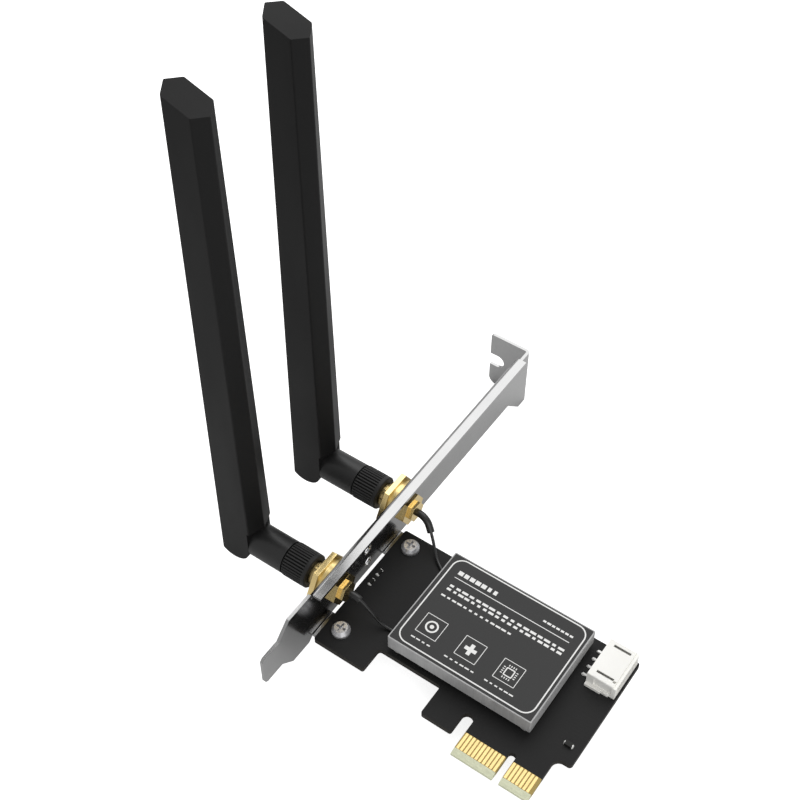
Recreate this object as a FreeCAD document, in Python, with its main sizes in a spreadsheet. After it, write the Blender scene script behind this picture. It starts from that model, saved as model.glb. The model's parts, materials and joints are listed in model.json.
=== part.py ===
import FreeCAD, Part
import Sketcher
import math
import os
from FreeCAD import Placement, Rotation, Vector

# A wireless network card for a computer's expansion slot, with two folding blade antennas.
#
# Card frame: the origin is at the middle of the key slot of the edge connector, on the
# connector's lower edge and in the middle of the board's thickness. +X runs along the board
# away from the slot bracket, +Y runs from the edge connector towards the bracket's screw tab,
# and +Z rises from the side that carries the components.
#
# Most sub-parts are drawn from the bracket's inner face (X = 0) and the board's top face
# (Z = 0), and their Placement carries them into the card frame. Antenna pieces are drawn
# about the axis of their own jack.

SIZES = [
    # slot bracket, one folded sheet
    ("sheet_thickness", 0.86, "bracket steel"),
    ("key_from_plate", 58.2, "bracket inner face to key slot centre"),
    ("tongue_tip", -10.8, "Y of the lower end of the tongue"),
    ("tongue_low", 0.6, "Z of the tongue's edge"),
    ("tongue_width", 10.19, "tongue across"),
    ("shoulder_start", -0.2, "Y where the plate reaches full width"),
    ("shoulder_top", 15.05, "Z of the plate's component-side edge"),
    ("shoulder_width", 18.42, "plate across at the shoulder"),
    ("shoulder_end", 6.2, "Y where the lower edge steps up"),
    ("flange_start", 8.7, "Y where the stiffening flange starts"),
    ("flange_end", 102.1, "Y where the stiffening flange ends"),
    ("flange_top", 15.0, "Z of the flange's outer face"),
    ("flange_depth", 2.6, "flange reach from the plate's inner face"),
    ("flange_bend", 1.4, "outer bend radius of the flange"),
    ("relief", 0.4, "relief cut beside the flange"),
    ("tab_face", 109.2, "Y of the screw tab's outer face"),
    ("tab_depth", 12.4, "screw tab reach from the plate's inner face"),
    ("tab_top", 11.8, "Z of the tab's upper edge"),
    ("tab_width", 19.55, "screw tab across"),
    ("tab_bend", 1.3, "outer bend radius of the tab"),
    ("tab_corner", 2.5, "rounded corner of the tab"),
    ("notch_height", 2.0, "Z of the chassis screw notch centre"),
    ("notch_width", 4.42, "chassis screw notch across"),
    ("notch_depth", 4.6, "chassis screw notch depth"),
    ("foot_length", 9.5, "board foot reach from the plate's inner face"),
    ("foot_width", 8.0, "board foot across"),
    ("lamp_hole", 3.0, "status lamp hole diameter"),
    ("lamp_along", 31.4, "Y of the status lamp holes"),
    ("lamp_height", 1.9, "Z of the lower status lamp hole"),
    ("lamp_pitch", 5.0, "between the status lamp holes"),
    # circuit board
    ("board_thickness", 1.6, "circuit board"),
    ("board_gap", 1.5, "bracket to board edge"),
    ("board_low", 6.15, "Y of the board's edge beside the bracket"),
    ("board_top", 45.9, "Y of the board's upper edge"),
    ("bay_start", 16.5, "X where the cut-away bay starts"),
    ("bay_end", 34.5, "X where the cut-away bay ends"),
    ("bay_top", 13.1, "Y of the bay's upper edge"),
    ("lobe_low", 4.45, "Y of the lobe between bay and connector"),
    ("lobe_end", 43.1, "X where the lobe ends"),
    ("slit_top", 10.8, "Y of the slit beside the connector"),
    ("block_one", 11.25, "long finger block along X"),
    ("block_two", 7.65, "short finger block along X"),
    ("key_width", 1.9, "key slot across"),
    ("key_top", 8.2, "Y of the key slot's end"),
    ("step_top", 13.0, "Y of the board's edge past the connector"),
    ("bevel_height", 1.8, "insertion bevel along Y"),
    ("bevel_depth", 0.4, "insertion bevel into the board"),
    ("board_corner", 0.6, "rounded board corner"),
    # gold fingers
    ("finger_pitch", 1.0, "between contact fingers"),
    ("finger_width", 0.7, "contact finger across"),
    ("finger_top", 6.35, "Y of the fingers' upper end"),
    ("finger_plate", 0.05, "copper and gold on the board"),
    ("finger_offset", 1.5, "key slot centre to the first finger"),
    # bracket screws
    ("screw_from_plate", 5.8, "X of the bracket screws"),
    ("screw_low", 11.74, "Y of the lower bracket screw"),
    ("screw_spacing", 30.1, "between the bracket screws"),
    ("screw_shank", 1.45, "bracket screw shank radius"),
    ("screw_head", 2.4, "bracket screw head radius"),
    ("screw_rise", 1.7, "bracket screw head height"),
    ("screw_length", 4.6, "bracket screw under its head"),
    ("recess_reach", 1.35, "cross recess reach from the axis"),
    ("recess_wide", 0.6, "cross recess slot across"),
    ("recess_depth", 0.9, "cross recess depth"),
    # antenna jacks
    ("jack_low", 18.04, "Y of the lower jack"),
    ("jack_spacing", 29.69, "between the jacks"),
    ("jack_height", 7.6, "Z of the jack axes"),
    ("thread_radius", 3.175, "jack thread, outer"),
    ("jack_reach", 11.6, "jack end from the plate's inner face"),
    ("mouth_radius", 2.3, "jack mouth"),
    ("mouth_depth", 2.0, "jack mouth depth"),
    ("dielectric_radius", 2.0, "insulator in the jack"),
    ("jack_pin_radius", 0.47, "centre pin of the jack"),
    ("nut_flats", 13.4, "jack nut across flats"),
    ("nut_thickness", 1.5, "jack nut"),
    ("washer_radius", 6.2, "jack washer"),
    ("washer_thickness", 1.44, "jack washer"),
    ("hex_flats", 8.0, "jack flange across flats"),
    ("hex_length", 2.5, "jack flange along its axis"),
    ("collar_flats", 5.1, "jack collar across flats"),
    ("collar_length", 1.3, "jack collar along its axis"),
    ("stub_radius", 0.75, "crimp stub of the jack"),
    ("stub_length", 1.0, "crimp stub of the jack"),
    ("cable_radius", 0.405, "antenna cable inside the card"),
    ("sleeve_radius", 0.98, "heat-shrink sleeve over the crimp"),
    ("lower_sleeve", 3.5, "lower sleeve along its cable"),
    ("upper_sleeve", 6.6, "upper sleeve along its cable"),
    ("first_bend", 6.7, "X of each cable's first bend"),
    ("cable_rest", 0.07, "lying cable to the board"),
    # radio module under the cover
    ("cover_start", 18.2, "X of the cover's near wall"),
    ("cover_near", 4.8, "cover past the module's free end"),
    ("cover_far", 5.8, "cover past the module's socket end"),
    ("cover_side", 4.0, "cover past the module's long edges"),
    ("cover_gap", 1.47, "board to the cover's rim"),
    ("cover_top", 6.07, "Z of the cover's top face"),
    ("cover_wall", 1.0, "cover walls and roof"),
    ("label_thickness", 0.1, "printed label on the cover"),
    ("label_inset", 0.35, "label edge to cover edge"),
    ("post_radius", 1.6, "cover posts"),
    ("post_inset", 2.1, "cover post axis from the cover's outer walls"),
    ("post_bore", 0.8, "cover post bore radius"),
    ("module_length", 30.0, "radio module along X"),
    ("module_width", 22.0, "radio module along Y"),
    ("module_middle", 29.0, "Y of the radio module's middle"),
    ("module_rise", 1.5, "board to the radio module"),
    ("module_board", 0.8, "radio module's board"),
    ("tab_step", 1.075, "module edge to the narrower edge in its socket"),
    ("module_entry", 4.0, "module length inside its socket"),
    ("socket_length", 7.5, "module socket along X"),
    ("socket_height", 3.2, "module socket"),
    ("shield_height", 1.4, "shield can on the module"),
    ("shield_start", 8.0, "module's free end to the shield can"),
    ("shield_inset", 1.5, "module's long edges to the shield can"),
    ("shield_gap", 0.5, "shield can to the socket"),
    ("shield_sheet", 0.2, "shield can's tinned sheet"),
    ("receptacle_size", 2.6, "cable receptacle on the module"),
    ("receptacle_inset", 3.0, "module's long edge to a receptacle's axis"),
    ("receptacle_from_end", 4.4, "module's free end to the receptacles"),
    ("plug_axis", 1.1, "cable axis above the module's board"),
    ("standoff_radius", 2.5, "module standoff"),
    ("module_screw_head", 2.2, "module screw head radius"),
    ("module_screw_shank", 0.95, "module screw shank radius"),
    ("module_screw_rise", 0.7, "module screw head height"),
    ("bore_depth", 3.4, "cover post bore depth from the board"),
    ("cover_screw_length", 4.6, "cover screw under its head"),
    ("cover_screw_head", 1.7, "cover screw head radius"),
    ("cover_screw_rise", 1.0, "cover screw head height"),
    # header for the internal lead
    ("header_gap", 3.7, "cover to the header's back"),
    ("header_margin", 0.5, "header's mouth to the board's far edge"),
    ("header_length", 7.8, "header along X"),
    ("header_low", 33.3, "Y of the header's lower side"),
    ("header_width", 12.4, "header along Y"),
    ("header_height", 4.8, "header above the board"),
    ("header_wall", 0.9, "header walls"),
    ("header_pitch", 2.5, "between header pins"),
    ("pin_wide", 0.64, "header pin across"),
    ("pin_first", 2.2, "header's lower side to its first pin"),
    ("pin_tail", 1.9, "pin tail on the board behind the header"),
    ("rim_length", 0.8, "lower rim round the header's mouth along X"),
    ("rim_drop", 0.45, "header's top to the rim"),
    ("side_slot", 0.35, "recess in the header's sides, deep"),
    ("side_step", 0.35, "each step of the header's side feet"),
    ("side_foot", 0.9, "header's side feet, high"),
    ("slot_long", 4.6, "slots in the header's top along X"),
    ("slot_wide", 0.7, "slots in the header's top across"),
    ("rib_wide", 0.7, "ribs on the header's back across"),
    ("rib_rise", 1.6, "ribs on the header's back, high"),
    # lamps and capacitor
    ("lamp_from_plate", 3.55, "X of the status lamps' middle"),
    ("lamp_wide", 0.9, "status lamp along X"),
    ("lamp_long", 1.7, "status lamp along Y"),
    ("lamp_low", 26.8, "Y where the lower lamp starts"),
    ("lamp_spacing", 3.5, "between the status lamps"),
    ("lamp_rise", 0.6, "status lamp above the board"),
    ("capacitor_from_end", 3.3, "board's far edge to the capacitor's middle"),
    ("capacitor_along", 17.35, "Y of the capacitor's middle"),
    ("capacitor_long", 2.0, "capacitor along X"),
    ("capacitor_wide", 1.24, "capacitor along Y"),
    ("capacitor_rise", 0.8, "capacitor above the board"),
    # antenna, measured from the jack axis
    ("grip_start", 6.6, "coupling nut's open end from the plate"),
    ("grip_end", 14.0, "coupling nut's outer end from the plate"),
    ("grip_radius", 4.6, "coupling nut over the knurl"),
    ("grip_groove", 0.35, "knurl groove depth"),
    ("grip_ring", 1.2, "plain ring beside the knurl"),
    ("grip_round", 0.3, "nut's chamfered ends"),
    ("core_radius", 2.5, "antenna plug's core"),
    ("core_flange", 0.55, "flange on the plug's core"),
    ("core_length", 6.85, "plug's core inside nut and barrel"),
    ("lead_radius", 0.45, "antenna lead"),
    ("ear_room", 6.0, "room cut past the barrel's shoulder"),
    ("barrel_end", 24.2, "barrel's shoulder from the plate"),
    ("barrel_radius", 4.5, "antenna barrel"),
    ("slide_gap", 0.2, "between parts that turn on each other"),
    ("running_gap", 0.05, "radial clearance of turning fits"),
    ("ear_radius", 5.24, "hinge axis to barrel shoulder"),
    ("ear_gap", 0.15, "blade's round end to the shoulder"),
    ("hinge_drop", 1.2, "hinge axis under the jack axis"),
    ("tongue_radius", 3.6, "barrel's hinge tongue"),
    ("tongue_thick", 4.4, "barrel's hinge tongue across"),
    ("hinge_pin_radius", 1.0, "hinge pin"),
    ("hinge_pin_length", 7.6, "hinge pin"),
    ("blade_foot_tip", 6.35, "blade half width at its foot, to the tips"),
    ("blade_foot_flat", 4.75, "blade half width at its foot, to the corners"),
    ("blade_foot_half", 4.55, "blade half thickness at its foot"),
    ("blade_head_tip", 5.4, "blade half width at its head, to the tips"),
    ("blade_head_flat", 3.39, "blade half width at its head, to the corners"),
    ("blade_head_half", 3.385, "blade half thickness at its head"),
    ("blade_head", 135.2, "slanted top's middle above the jack axis"),
    ("blade_slant", 0.347, "slope of the top"),
    ("recess_top", 6.8, "blade recess end above the jack axis"),
    ("cavity_width", 7.0, "blade cavity along X"),
    ("cavity_thick", 4.0, "blade cavity along Y"),
    ("radiator_length", 108.0, "radiator strip"),
    ("radiator_thick", 1.0, "radiator strip"),
]

doc = FreeCAD.newDocument("wireless_card")
sheet = doc.addObject("Spreadsheet::Sheet", "Sizes")
for row, (alias, number, note) in enumerate(SIZES, start=1):
    sheet.set(f"A{row}", alias)
    sheet.set(f"B{row}", str(number))
    sheet.set(f"C{row}", note)
    sheet.setAlias(f"B{row}", alias)
doc.recompute()


class Size:
    """A length that knows its number and the spreadsheet formula behind it."""

    def __init__(self, number, formula):
        self.number = float(number)
        self.formula = formula

    def __add__(self, other):
        other = as_size(other)
        return Size(self.number + other.number, f"({self.formula} + {other.formula})")

    def __sub__(self, other):
        other = as_size(other)
        return Size(self.number - other.number, f"({self.formula} - {other.formula})")

    def __mul__(self, factor):
        factor = as_size(factor)
        return Size(self.number * factor.number, f"({self.formula} * {factor.formula})")

    def __truediv__(self, divisor):
        divisor = as_size(divisor)
        return Size(self.number / divisor.number, f"({self.formula} / {divisor.formula})")

    def __neg__(self):
        return Size(-self.number, f"(-1 * {self.formula})")

    def __radd__(self, other):
        return as_size(other) + self

    def __rsub__(self, other):
        return as_size(other) - self

    def __rmul__(self, other):
        return as_size(other) * self


def as_size(value):
    """A plain number written as a size, or the size itself."""
    if isinstance(value, Size):
        return value
    return Size(value, f"({float(value):.9g})")


class SizeTable:
    """Reads sizes from the spreadsheet by alias."""

    def __getattr__(self, alias):
        return Size(getattr(sheet, alias), f"{sheet.Name}.{alias}")


s = SizeTable()
ZERO = as_size(0.0)
parts = []


# Document helpers

def place(obj, x=0.0, y=0.0, z=0.0):
    """Ties an object's place to the sizes."""
    for axis, value in zip("xyz", (x, y, z)):
        obj.setExpression(f"Placement.Base.{axis}", as_size(value).formula)


def new_body(label, x=None, y=0.0, z=None):
    """A body drawn from the bracket's inner face and the board's top face, unless placed."""
    body = doc.addObject("PartDesign::Body", label)
    body.Label = label
    body.AllowCompound = True
    card_x = -s.key_from_plate if x is None else x
    card_z = s.board_thickness / 2 if z is None else z
    place(body, card_x, y, card_z)
    parts.append(body)
    return body


def new_sketch(body, plane, name, offset=None):
    """A sketch on one of the body's own planes, moved along the plane's normal."""
    sketch = body.newObject("Sketcher::SketchObject", name)
    support = next(item for item in body.Origin.OriginFeatures if item.Role == plane)
    sketch.AttachmentSupport = [(support, "")]
    sketch.MapMode = "FlatFace"
    if offset is not None:
        sketch.setExpression("AttachmentOffset.Base.z", as_size(offset).formula)
    return sketch


def tie(sketch, kind, geometry, position, size):
    """A distance from the sketch's origin to a point, bound to a size."""
    size = as_size(size)
    rule = Sketcher.Constraint(kind, -1, 1, geometry, position, size.number)
    index = sketch.addConstraint(rule)
    sketch.setExpression(f"Constraints[{index}]", size.formula)


def toward(start, end):
    """The unit step along a sketch axis from one corner to the next."""
    across = end[0].number - start[0].number
    along = end[1].number - start[1].number
    if abs(across) > abs(along):
        return math.copysign(1.0, across), 0.0
    return 0.0, math.copysign(1.0, along)


def polygon(sketch, corners):
    """A closed outline through the corners, each tied to the sizes.

    A corner is (x, y), or (x, y, radius) where a level side meets an upright one in a bend.
    """
    first = sketch.GeometryCount
    corners = [tuple(as_size(value) for value in corner) for corner in corners]
    spots = []
    for index, corner in enumerate(corners):
        if len(corner) == 2:
            spots.append((corner[0], corner[1], None))
            continue
        x, y, radius = corner
        back = toward(corner, corners[index - 1])
        ahead = toward(corner, corners[(index + 1) % len(corners)])
        spots.append((x + radius * back[0], y + radius * back[1], (radius, back, ahead)))
        spots.append((x + radius * ahead[0], y + radius * ahead[1], None))
    ends = []
    for index, (x, y, bend) in enumerate(spots):
        start = Vector(x.number, y.number, 0)
        follower = spots[(index + 1) % len(spots)]
        finish = Vector(follower[0].number, follower[1].number, 0)
        if bend is None:
            sketch.addGeometry(Part.LineSegment(start, finish), False)
            ends.append((1, 2))
            continue
        radius, back, ahead = bend
        centre = start + Vector(ahead[0], ahead[1], 0) * radius.number
        corner = start - Vector(back[0], back[1], 0) * radius.number
        middle = centre + (corner - centre).normalize() * radius.number
        arc = Part.Arc(start, middle, finish)
        sketch.addGeometry(arc, False)
        opposite = back[0] * ahead[1] - back[1] * ahead[0] > 0
        ends.append((2, 1) if opposite else (1, 2))
        index_radius = sketch.addConstraint(
            Sketcher.Constraint("Radius", first + index, radius.number)
        )
        sketch.setExpression(f"Constraints[{index_radius}]", radius.formula)
    for index, (start_end, finish_end) in enumerate(ends):
        following = (index + 1) % len(ends)
        sketch.addConstraint(Sketcher.Constraint(
            "Coincident", first + index, finish_end, first + following, ends[following][0]
        ))
    for index, (x, y, bend) in enumerate(spots):
        tie(sketch, "DistanceX", first + index, ends[index][0], x)
        tie(sketch, "DistanceY", first + index, ends[index][0], y)


def rectangle(sketch, left, right, low, high):
    """A rectangle between two pairs of edges."""
    polygon(sketch, [(left, low), (right, low), (right, high), (left, high)])


def circle(sketch, x, y, radius):
    """A circle with its centre and radius tied to the sizes."""
    x, y, radius = as_size(x), as_size(y), as_size(radius)
    shape = Part.Circle(Vector(x.number, y.number, 0), Vector(0, 0, 1), radius.number)
    geometry = sketch.addGeometry(shape, False)
    tie(sketch, "DistanceX", geometry, 3, x)
    tie(sketch, "DistanceY", geometry, 3, y)
    index = sketch.addConstraint(Sketcher.Constraint("Radius", geometry, radius.number))
    sketch.setExpression(f"Constraints[{index}]", radius.formula)


def hexagon(sketch, x, y, flats):
    """A hexagon with two flats square to the sketch's vertical axis."""
    corner = flats / math.sqrt(3.0)
    corners = []
    for step in range(6):
        angle = math.radians(60.0 * step)
        corners.append((x + corner * math.cos(angle), y + corner * math.sin(angle)))
    polygon(sketch, corners)


def feature(body, kind, sketch, length, backwards):
    """A pad or pocket of a sketch."""
    result = body.newObject(kind, f"{sketch.Name}_solid")
    result.Profile = sketch
    result.Reversed = backwards
    result.setExpression("Length", as_size(length).formula)
    doc.recompute()
    return result


def pad(body, sketch, length, backwards=False):
    """Adds material from a sketch along its normal."""
    return feature(body, "PartDesign::Pad", sketch, length, backwards)


def pocket(body, sketch, length, backwards=False):
    """Removes material against the sketch's normal, and makes sure that some went."""
    before = body.Shape.Volume
    result = feature(body, "PartDesign::Pocket", sketch, length, backwards)
    if not body.Shape.Volume < before:
        raise RuntimeError(f"{body.Label}: the pocket {sketch.Name} removes nothing")
    return result


def revolve(body, sketch):
    """Turns a sketch about its horizontal axis."""
    result = body.newObject("PartDesign::Revolution", f"{sketch.Name}_solid")
    result.Profile = sketch
    result.ReferenceAxis = (sketch, ["H_Axis"])
    result.Angle = 360.0
    doc.recompute()
    return result


def edges_where(shape, test):
    """Names of the edges that pass a test."""
    return [f"Edge{n}" for n, edge in enumerate(shape.Edges, start=1) if test(edge)]


def parallel_at(axis, places, near=0.02):
    """A test for straight edges along an axis that pass through one of the places."""
    kept = [index for index in range(3) if index != axis]

    def test(edge):
        start, end = edge.Vertexes[0].Point, edge.Vertexes[-1].Point
        if any(abs(start[index] - end[index]) > near for index in kept):
            return False
        if abs(start[axis] - end[axis]) < near:
            return False
        spot = [start[index] for index in kept]
        return any(math.dist(spot, place_at) < near for place_at in places)

    return test


def numbers(places):
    """The plain numbers of a list of places."""
    return [tuple(as_size(value).number for value in spot) for spot in places]


def dress(body, kind, base, edges, prop, size):
    """A fillet or chamfer on chosen edges of the feature before it."""
    if not edges:
        raise RuntimeError(f"{body.Label}: no edge found for a {kind}")
    result = body.newObject(kind, "edge")
    result.Base = (base, edges)
    result.setExpression(prop, as_size(size).formula)
    doc.recompute()
    if result.Shape.isNull() or "Invalid" in result.State:
        raise RuntimeError(f"{body.Label}: a {kind} of {as_size(size).number:.2f} fails")
    return result


def fillet(body, base, test, radius):
    """Rounds the edges that pass a test."""
    edges = edges_where(base.Shape, test)
    return dress(body, "PartDesign::Fillet", base, edges, "Radius", radius)


def chamfer(body, base, test, size):
    """Chamfers the edges that pass a test."""
    edges = edges_where(base.Shape, test)
    return dress(body, "PartDesign::Chamfer", base, edges, "Size", size)


def row_of(body, original, sketch, axis, spacing, count):
    """Repeats a feature along a sketch axis."""
    pattern = body.newObject("PartDesign::LinearPattern", "row")
    pattern.Originals = [original]
    pattern.Direction = (sketch, [axis])
    pattern.Occurrences = count
    pattern.setExpression("Length", (as_size(spacing) * (count - 1)).formula)
    body.Tip = pattern
    doc.recompute()
    return pattern


def box_body(label, left, right, low, high, bottom, height):
    """A plain block drawn in the card's frame of bracket face and board face."""
    body = new_body(label)
    outline = new_sketch(body, "XY_Plane", "outline", bottom)
    rectangle(outline, left, right, low, high)
    pad(body, outline, height)
    return body


# Slot bracket

lamp_places = [
    (s.lamp_along, s.lamp_height),
    (s.lamp_along, s.lamp_height + s.lamp_pitch),
]
jack_places = [
    (s.jack_low, s.jack_height),
    (s.jack_low + s.jack_spacing, s.jack_height),
]
screw_places = [
    (s.screw_from_plate, s.screw_low),
    (s.screw_from_plate, s.screw_low + s.screw_spacing),
]
board_under = -s.board_thickness
clip = 0.1
LONG_ROW = 11
SHORT_ROW = 7
KNURL_GROOVES = 36

# Module, cover, header and board end stand in a row, each placed from the one before
module_start = s.cover_start + s.cover_near
module_end = module_start + s.module_length
module_low = s.module_middle - s.module_width / 2
module_high = s.module_middle + s.module_width / 2
cover_end = module_end + s.cover_far
cover_low = module_low - s.cover_side
cover_high = module_high + s.cover_side
header_start = cover_end + s.header_gap
header_end = header_start + s.header_length
board_end = header_end + s.header_margin


def make_bracket():
    """The folded sheet: tongue, plate, stiffening flange, screw tab and two board feet."""
    body = new_body("bracket")
    sheet_t = s.sheet_thickness
    tongue_top = s.tongue_low + s.tongue_width
    shoulder_low = s.shoulder_top - s.shoulder_width
    shoulder_drop = s.shoulder_top - tongue_top
    under_drop = s.tongue_low - shoulder_low
    step_up = board_under - shoulder_low
    tab_low = s.tab_top - s.tab_width
    tab_drop = board_under - tab_low
    flange_root = s.flange_top - s.flange_bend
    plate_end = s.tab_face - s.tab_bend
    tab_foot = plate_end - 3.2
    plate = new_sketch(body, "YZ_Plane", "plate", -sheet_t)
    polygon(plate, [
        (s.tongue_tip, s.tongue_low),
        (s.shoulder_start - under_drop, s.tongue_low),
        (s.shoulder_start, shoulder_low),
        (s.shoulder_end, shoulder_low),
        (s.shoulder_end + step_up, board_under),
        (tab_foot - tab_drop, board_under),
        (tab_foot, tab_low),
        (plate_end, tab_low),
        (plate_end, s.tab_top),
        (s.flange_end, s.tab_top),
        (s.flange_end, flange_root),
        (s.flange_start, flange_root),
        (s.flange_start, flange_root - s.relief),
        (s.flange_start - s.relief, flange_root - s.relief),
        (s.flange_start - s.relief, s.shoulder_top),
        (s.shoulder_start, s.shoulder_top),
        (s.shoulder_start - shoulder_drop, tongue_top),
        (s.tongue_tip, tongue_top),
    ])
    pad(body, plate, sheet_t)

    flange = new_sketch(body, "XZ_Plane", "flange", -s.flange_start)
    polygon(flange, [
        (-sheet_t, flange_root - clip),
        (ZERO, flange_root - clip),
        (ZERO, s.flange_top - sheet_t, s.flange_bend - sheet_t),
        (s.flange_depth, s.flange_top - sheet_t),
        (s.flange_depth, s.flange_top),
        (-sheet_t, s.flange_top, s.flange_bend),
    ])
    pad(body, flange, s.flange_end - s.flange_start, backwards=True)

    tab = new_sketch(body, "XY_Plane", "tab", tab_low)
    polygon(tab, [
        (ZERO, plate_end - clip),
        (ZERO, s.tab_face, s.tab_bend),
        (-s.tab_depth, s.tab_face),
        (-s.tab_depth, s.tab_face - sheet_t),
        (-sheet_t, s.tab_face - sheet_t, s.tab_bend - sheet_t),
        (-sheet_t, plate_end - clip),
    ])
    pad(body, tab, s.tab_width)

    foot_root = board_under + 0.6
    inner_bend = as_size(0.3)
    for index, (_, along) in enumerate(screw_places):
        foot = new_sketch(body, "XZ_Plane", f"foot_{index}", -(along - s.foot_width / 2))
        polygon(foot, [
            (-sheet_t, foot_root),
            (-sheet_t, board_under - sheet_t, inner_bend + sheet_t),
            (s.foot_length, board_under - sheet_t),
            (s.foot_length, board_under),
            (ZERO, board_under, inner_bend),
            (ZERO, foot_root),
        ])
        pad(body, foot, s.foot_width, backwards=True)

    holes = new_sketch(body, "YZ_Plane", "plate_holes", -sheet_t - clip)
    for along, height in lamp_places:
        circle(holes, along, height, s.lamp_hole / 2)
    for along, height in jack_places:
        circle(holes, along, height, s.thread_radius + 0.08)
    pocket(body, holes, sheet_t + 2 * clip, backwards=True)

    taps = new_sketch(body, "XY_Plane", "foot_holes", board_under - sheet_t - clip)
    for along, across in screw_places:
        circle(taps, along, across, s.screw_shank + s.running_gap)
    pocket(body, taps, sheet_t + clip, backwards=True)

    notch_end = s.notch_depth - s.tab_depth
    notch = new_sketch(body, "XZ_Plane", "screw_notch", -(s.tab_face - sheet_t - clip))
    rectangle(
        notch, -s.tab_depth - clip, notch_end,
        s.notch_height - s.notch_width / 2, s.notch_height + s.notch_width / 2,
    )
    cut = pocket(body, notch, sheet_t + 2 * clip)

    slot_corners = [
        (notch_end, s.notch_height - s.notch_width / 2),
        (notch_end, s.notch_height + s.notch_width / 2),
    ]
    cut = fillet(body, cut, parallel_at(1, numbers(slot_corners)), s.notch_width / 2 - 0.02)
    cut = fillet(body, cut, parallel_at(1, numbers([(-s.tab_depth, tab_low)])), s.tab_corner)
    cut = chamfer(body, cut, parallel_at(1, numbers([(-s.tab_depth, s.tab_top)])), 0.5)
    cut = fillet(body, cut, parallel_at(0, numbers([(s.tongue_tip, s.tongue_low)])), 1.5)
    cut = chamfer(body, cut, parallel_at(0, numbers([(s.tongue_tip, tongue_top)])), 0.8)
    return body


# Circuit board and its contact fingers

block_one_end = s.key_from_plate - s.key_width / 2
block_one_start = block_one_end - s.block_one
block_two_start = s.key_from_plate + s.key_width / 2
block_two_end = block_two_start + s.block_two


def cover_post_places():
    """Axes of the four posts that hold the cover."""
    near = s.cover_start + s.post_inset
    far = cover_end - s.post_inset
    low = cover_low + s.post_inset
    high = cover_high - s.post_inset
    return [(near, low), (near, high), (far, low), (far, high)]


def make_board():
    """The board with its bay, slit, key slot, bevelled edge and screw holes."""
    body = new_body("circuit_board")
    outline = new_sketch(body, "XY_Plane", "outline", board_under)
    polygon(outline, [
        (s.board_gap, s.board_low),
        (s.bay_start, s.board_low),
        (s.bay_start, s.bay_top),
        (s.bay_end, s.bay_top),
        (s.bay_end, s.lobe_low),
        (s.lobe_end, s.lobe_low),
        (s.lobe_end, s.slit_top),
        (block_one_start, s.slit_top),
        (block_one_start, ZERO),
        (block_one_end, ZERO),
        (block_one_end, s.key_top),
        (block_two_start, s.key_top),
        (block_two_start, ZERO),
        (block_two_end, ZERO),
        (block_two_end, s.step_top),
        (board_end, s.step_top),
        (board_end, s.board_top),
        (s.board_gap, s.board_top),
    ])
    pad(body, outline, s.board_thickness)
    holes = new_sketch(body, "XY_Plane", "holes", board_under - clip)
    for along, across in screw_places:
        circle(holes, along, across, s.screw_shank + 0.15)
    for along, across in cover_post_places():
        circle(holes, along, across, s.post_bore)
    base = pocket(body, holes, s.board_thickness + 2 * clip, backwards=True)
    bevel = new_sketch(body, "YZ_Plane", "bevel", block_one_start - clip)
    polygon(bevel, [(-clip, -s.bevel_depth), (-clip, clip), (s.bevel_height, clip),
                    (s.bevel_height, ZERO), (ZERO, -s.bevel_depth)])
    polygon(bevel, [(-clip, board_under + s.bevel_depth), (-clip, board_under - clip),
                    (s.bevel_height, board_under - clip), (s.bevel_height, board_under),
                    (ZERO, board_under + s.bevel_depth)])
    fingers_long = block_two_end - block_one_start
    base = pocket(body, bevel, fingers_long + 2 * clip, backwards=True)
    rounds = [
        (s.board_corner, [(s.board_gap, s.board_low), (s.board_gap, s.board_top),
                          (board_end, s.board_top), (s.bay_end, s.lobe_low),
                          (s.lobe_end, s.lobe_low), (s.bay_start, s.board_low)]),
        (0.8, [(s.bay_start, s.bay_top), (s.bay_end, s.bay_top)]),
        ((block_one_start - s.lobe_end) / 2 - 0.02,
         [(s.lobe_end, s.slit_top), (block_one_start, s.slit_top)]),
        (s.key_width / 2 - 0.02,
         [(block_one_end, s.key_top), (block_two_start, s.key_top)]),
        (2.0, [(block_two_end, s.step_top)]),
        (0.9, [(board_end, s.step_top)]),
    ]
    for radius, places in rounds:
        base = fillet(body, base, parallel_at(2, numbers(places)), radius)
    return body


def make_fingers():
    """Gold contact fingers on both faces, drawn about the middle of the board."""
    body = new_body("contact_fingers", x=0.0, z=0.0)
    half = s.board_thickness / 2
    groups = [
        ("long_row", -s.finger_offset - (LONG_ROW - 1) * s.finger_pitch, LONG_ROW),
        ("short_row", s.finger_offset, SHORT_ROW),
    ]
    for name, first, count in groups:
        outline = new_sketch(body, "XY_Plane", name, half)
        half_wide = s.finger_width / 2
        shoulder = s.finger_top - half_wide * 0.6
        polygon(outline, [
            (first - half_wide, s.bevel_height),
            (first + half_wide, s.bevel_height),
            (first + half_wide, shoulder),
            (first + half_wide * 0.5, s.finger_top),
            (first - half_wide * 0.5, s.finger_top),
            (first - half_wide, shoulder),
        ])
        finger = pad(body, outline, s.finger_plate)
        row_of(body, finger, outline, "H_Axis", s.finger_pitch, count)
    under = body.newObject("PartDesign::Mirrored", "underside")
    under.TransformMode = "Whole shape"
    middle = next(item for item in body.Origin.OriginFeatures if item.Role == "XY_Plane")
    under.MirrorPlane = (middle, [""])
    body.Tip = under
    doc.recompute()
    return body


# Screws

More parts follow.
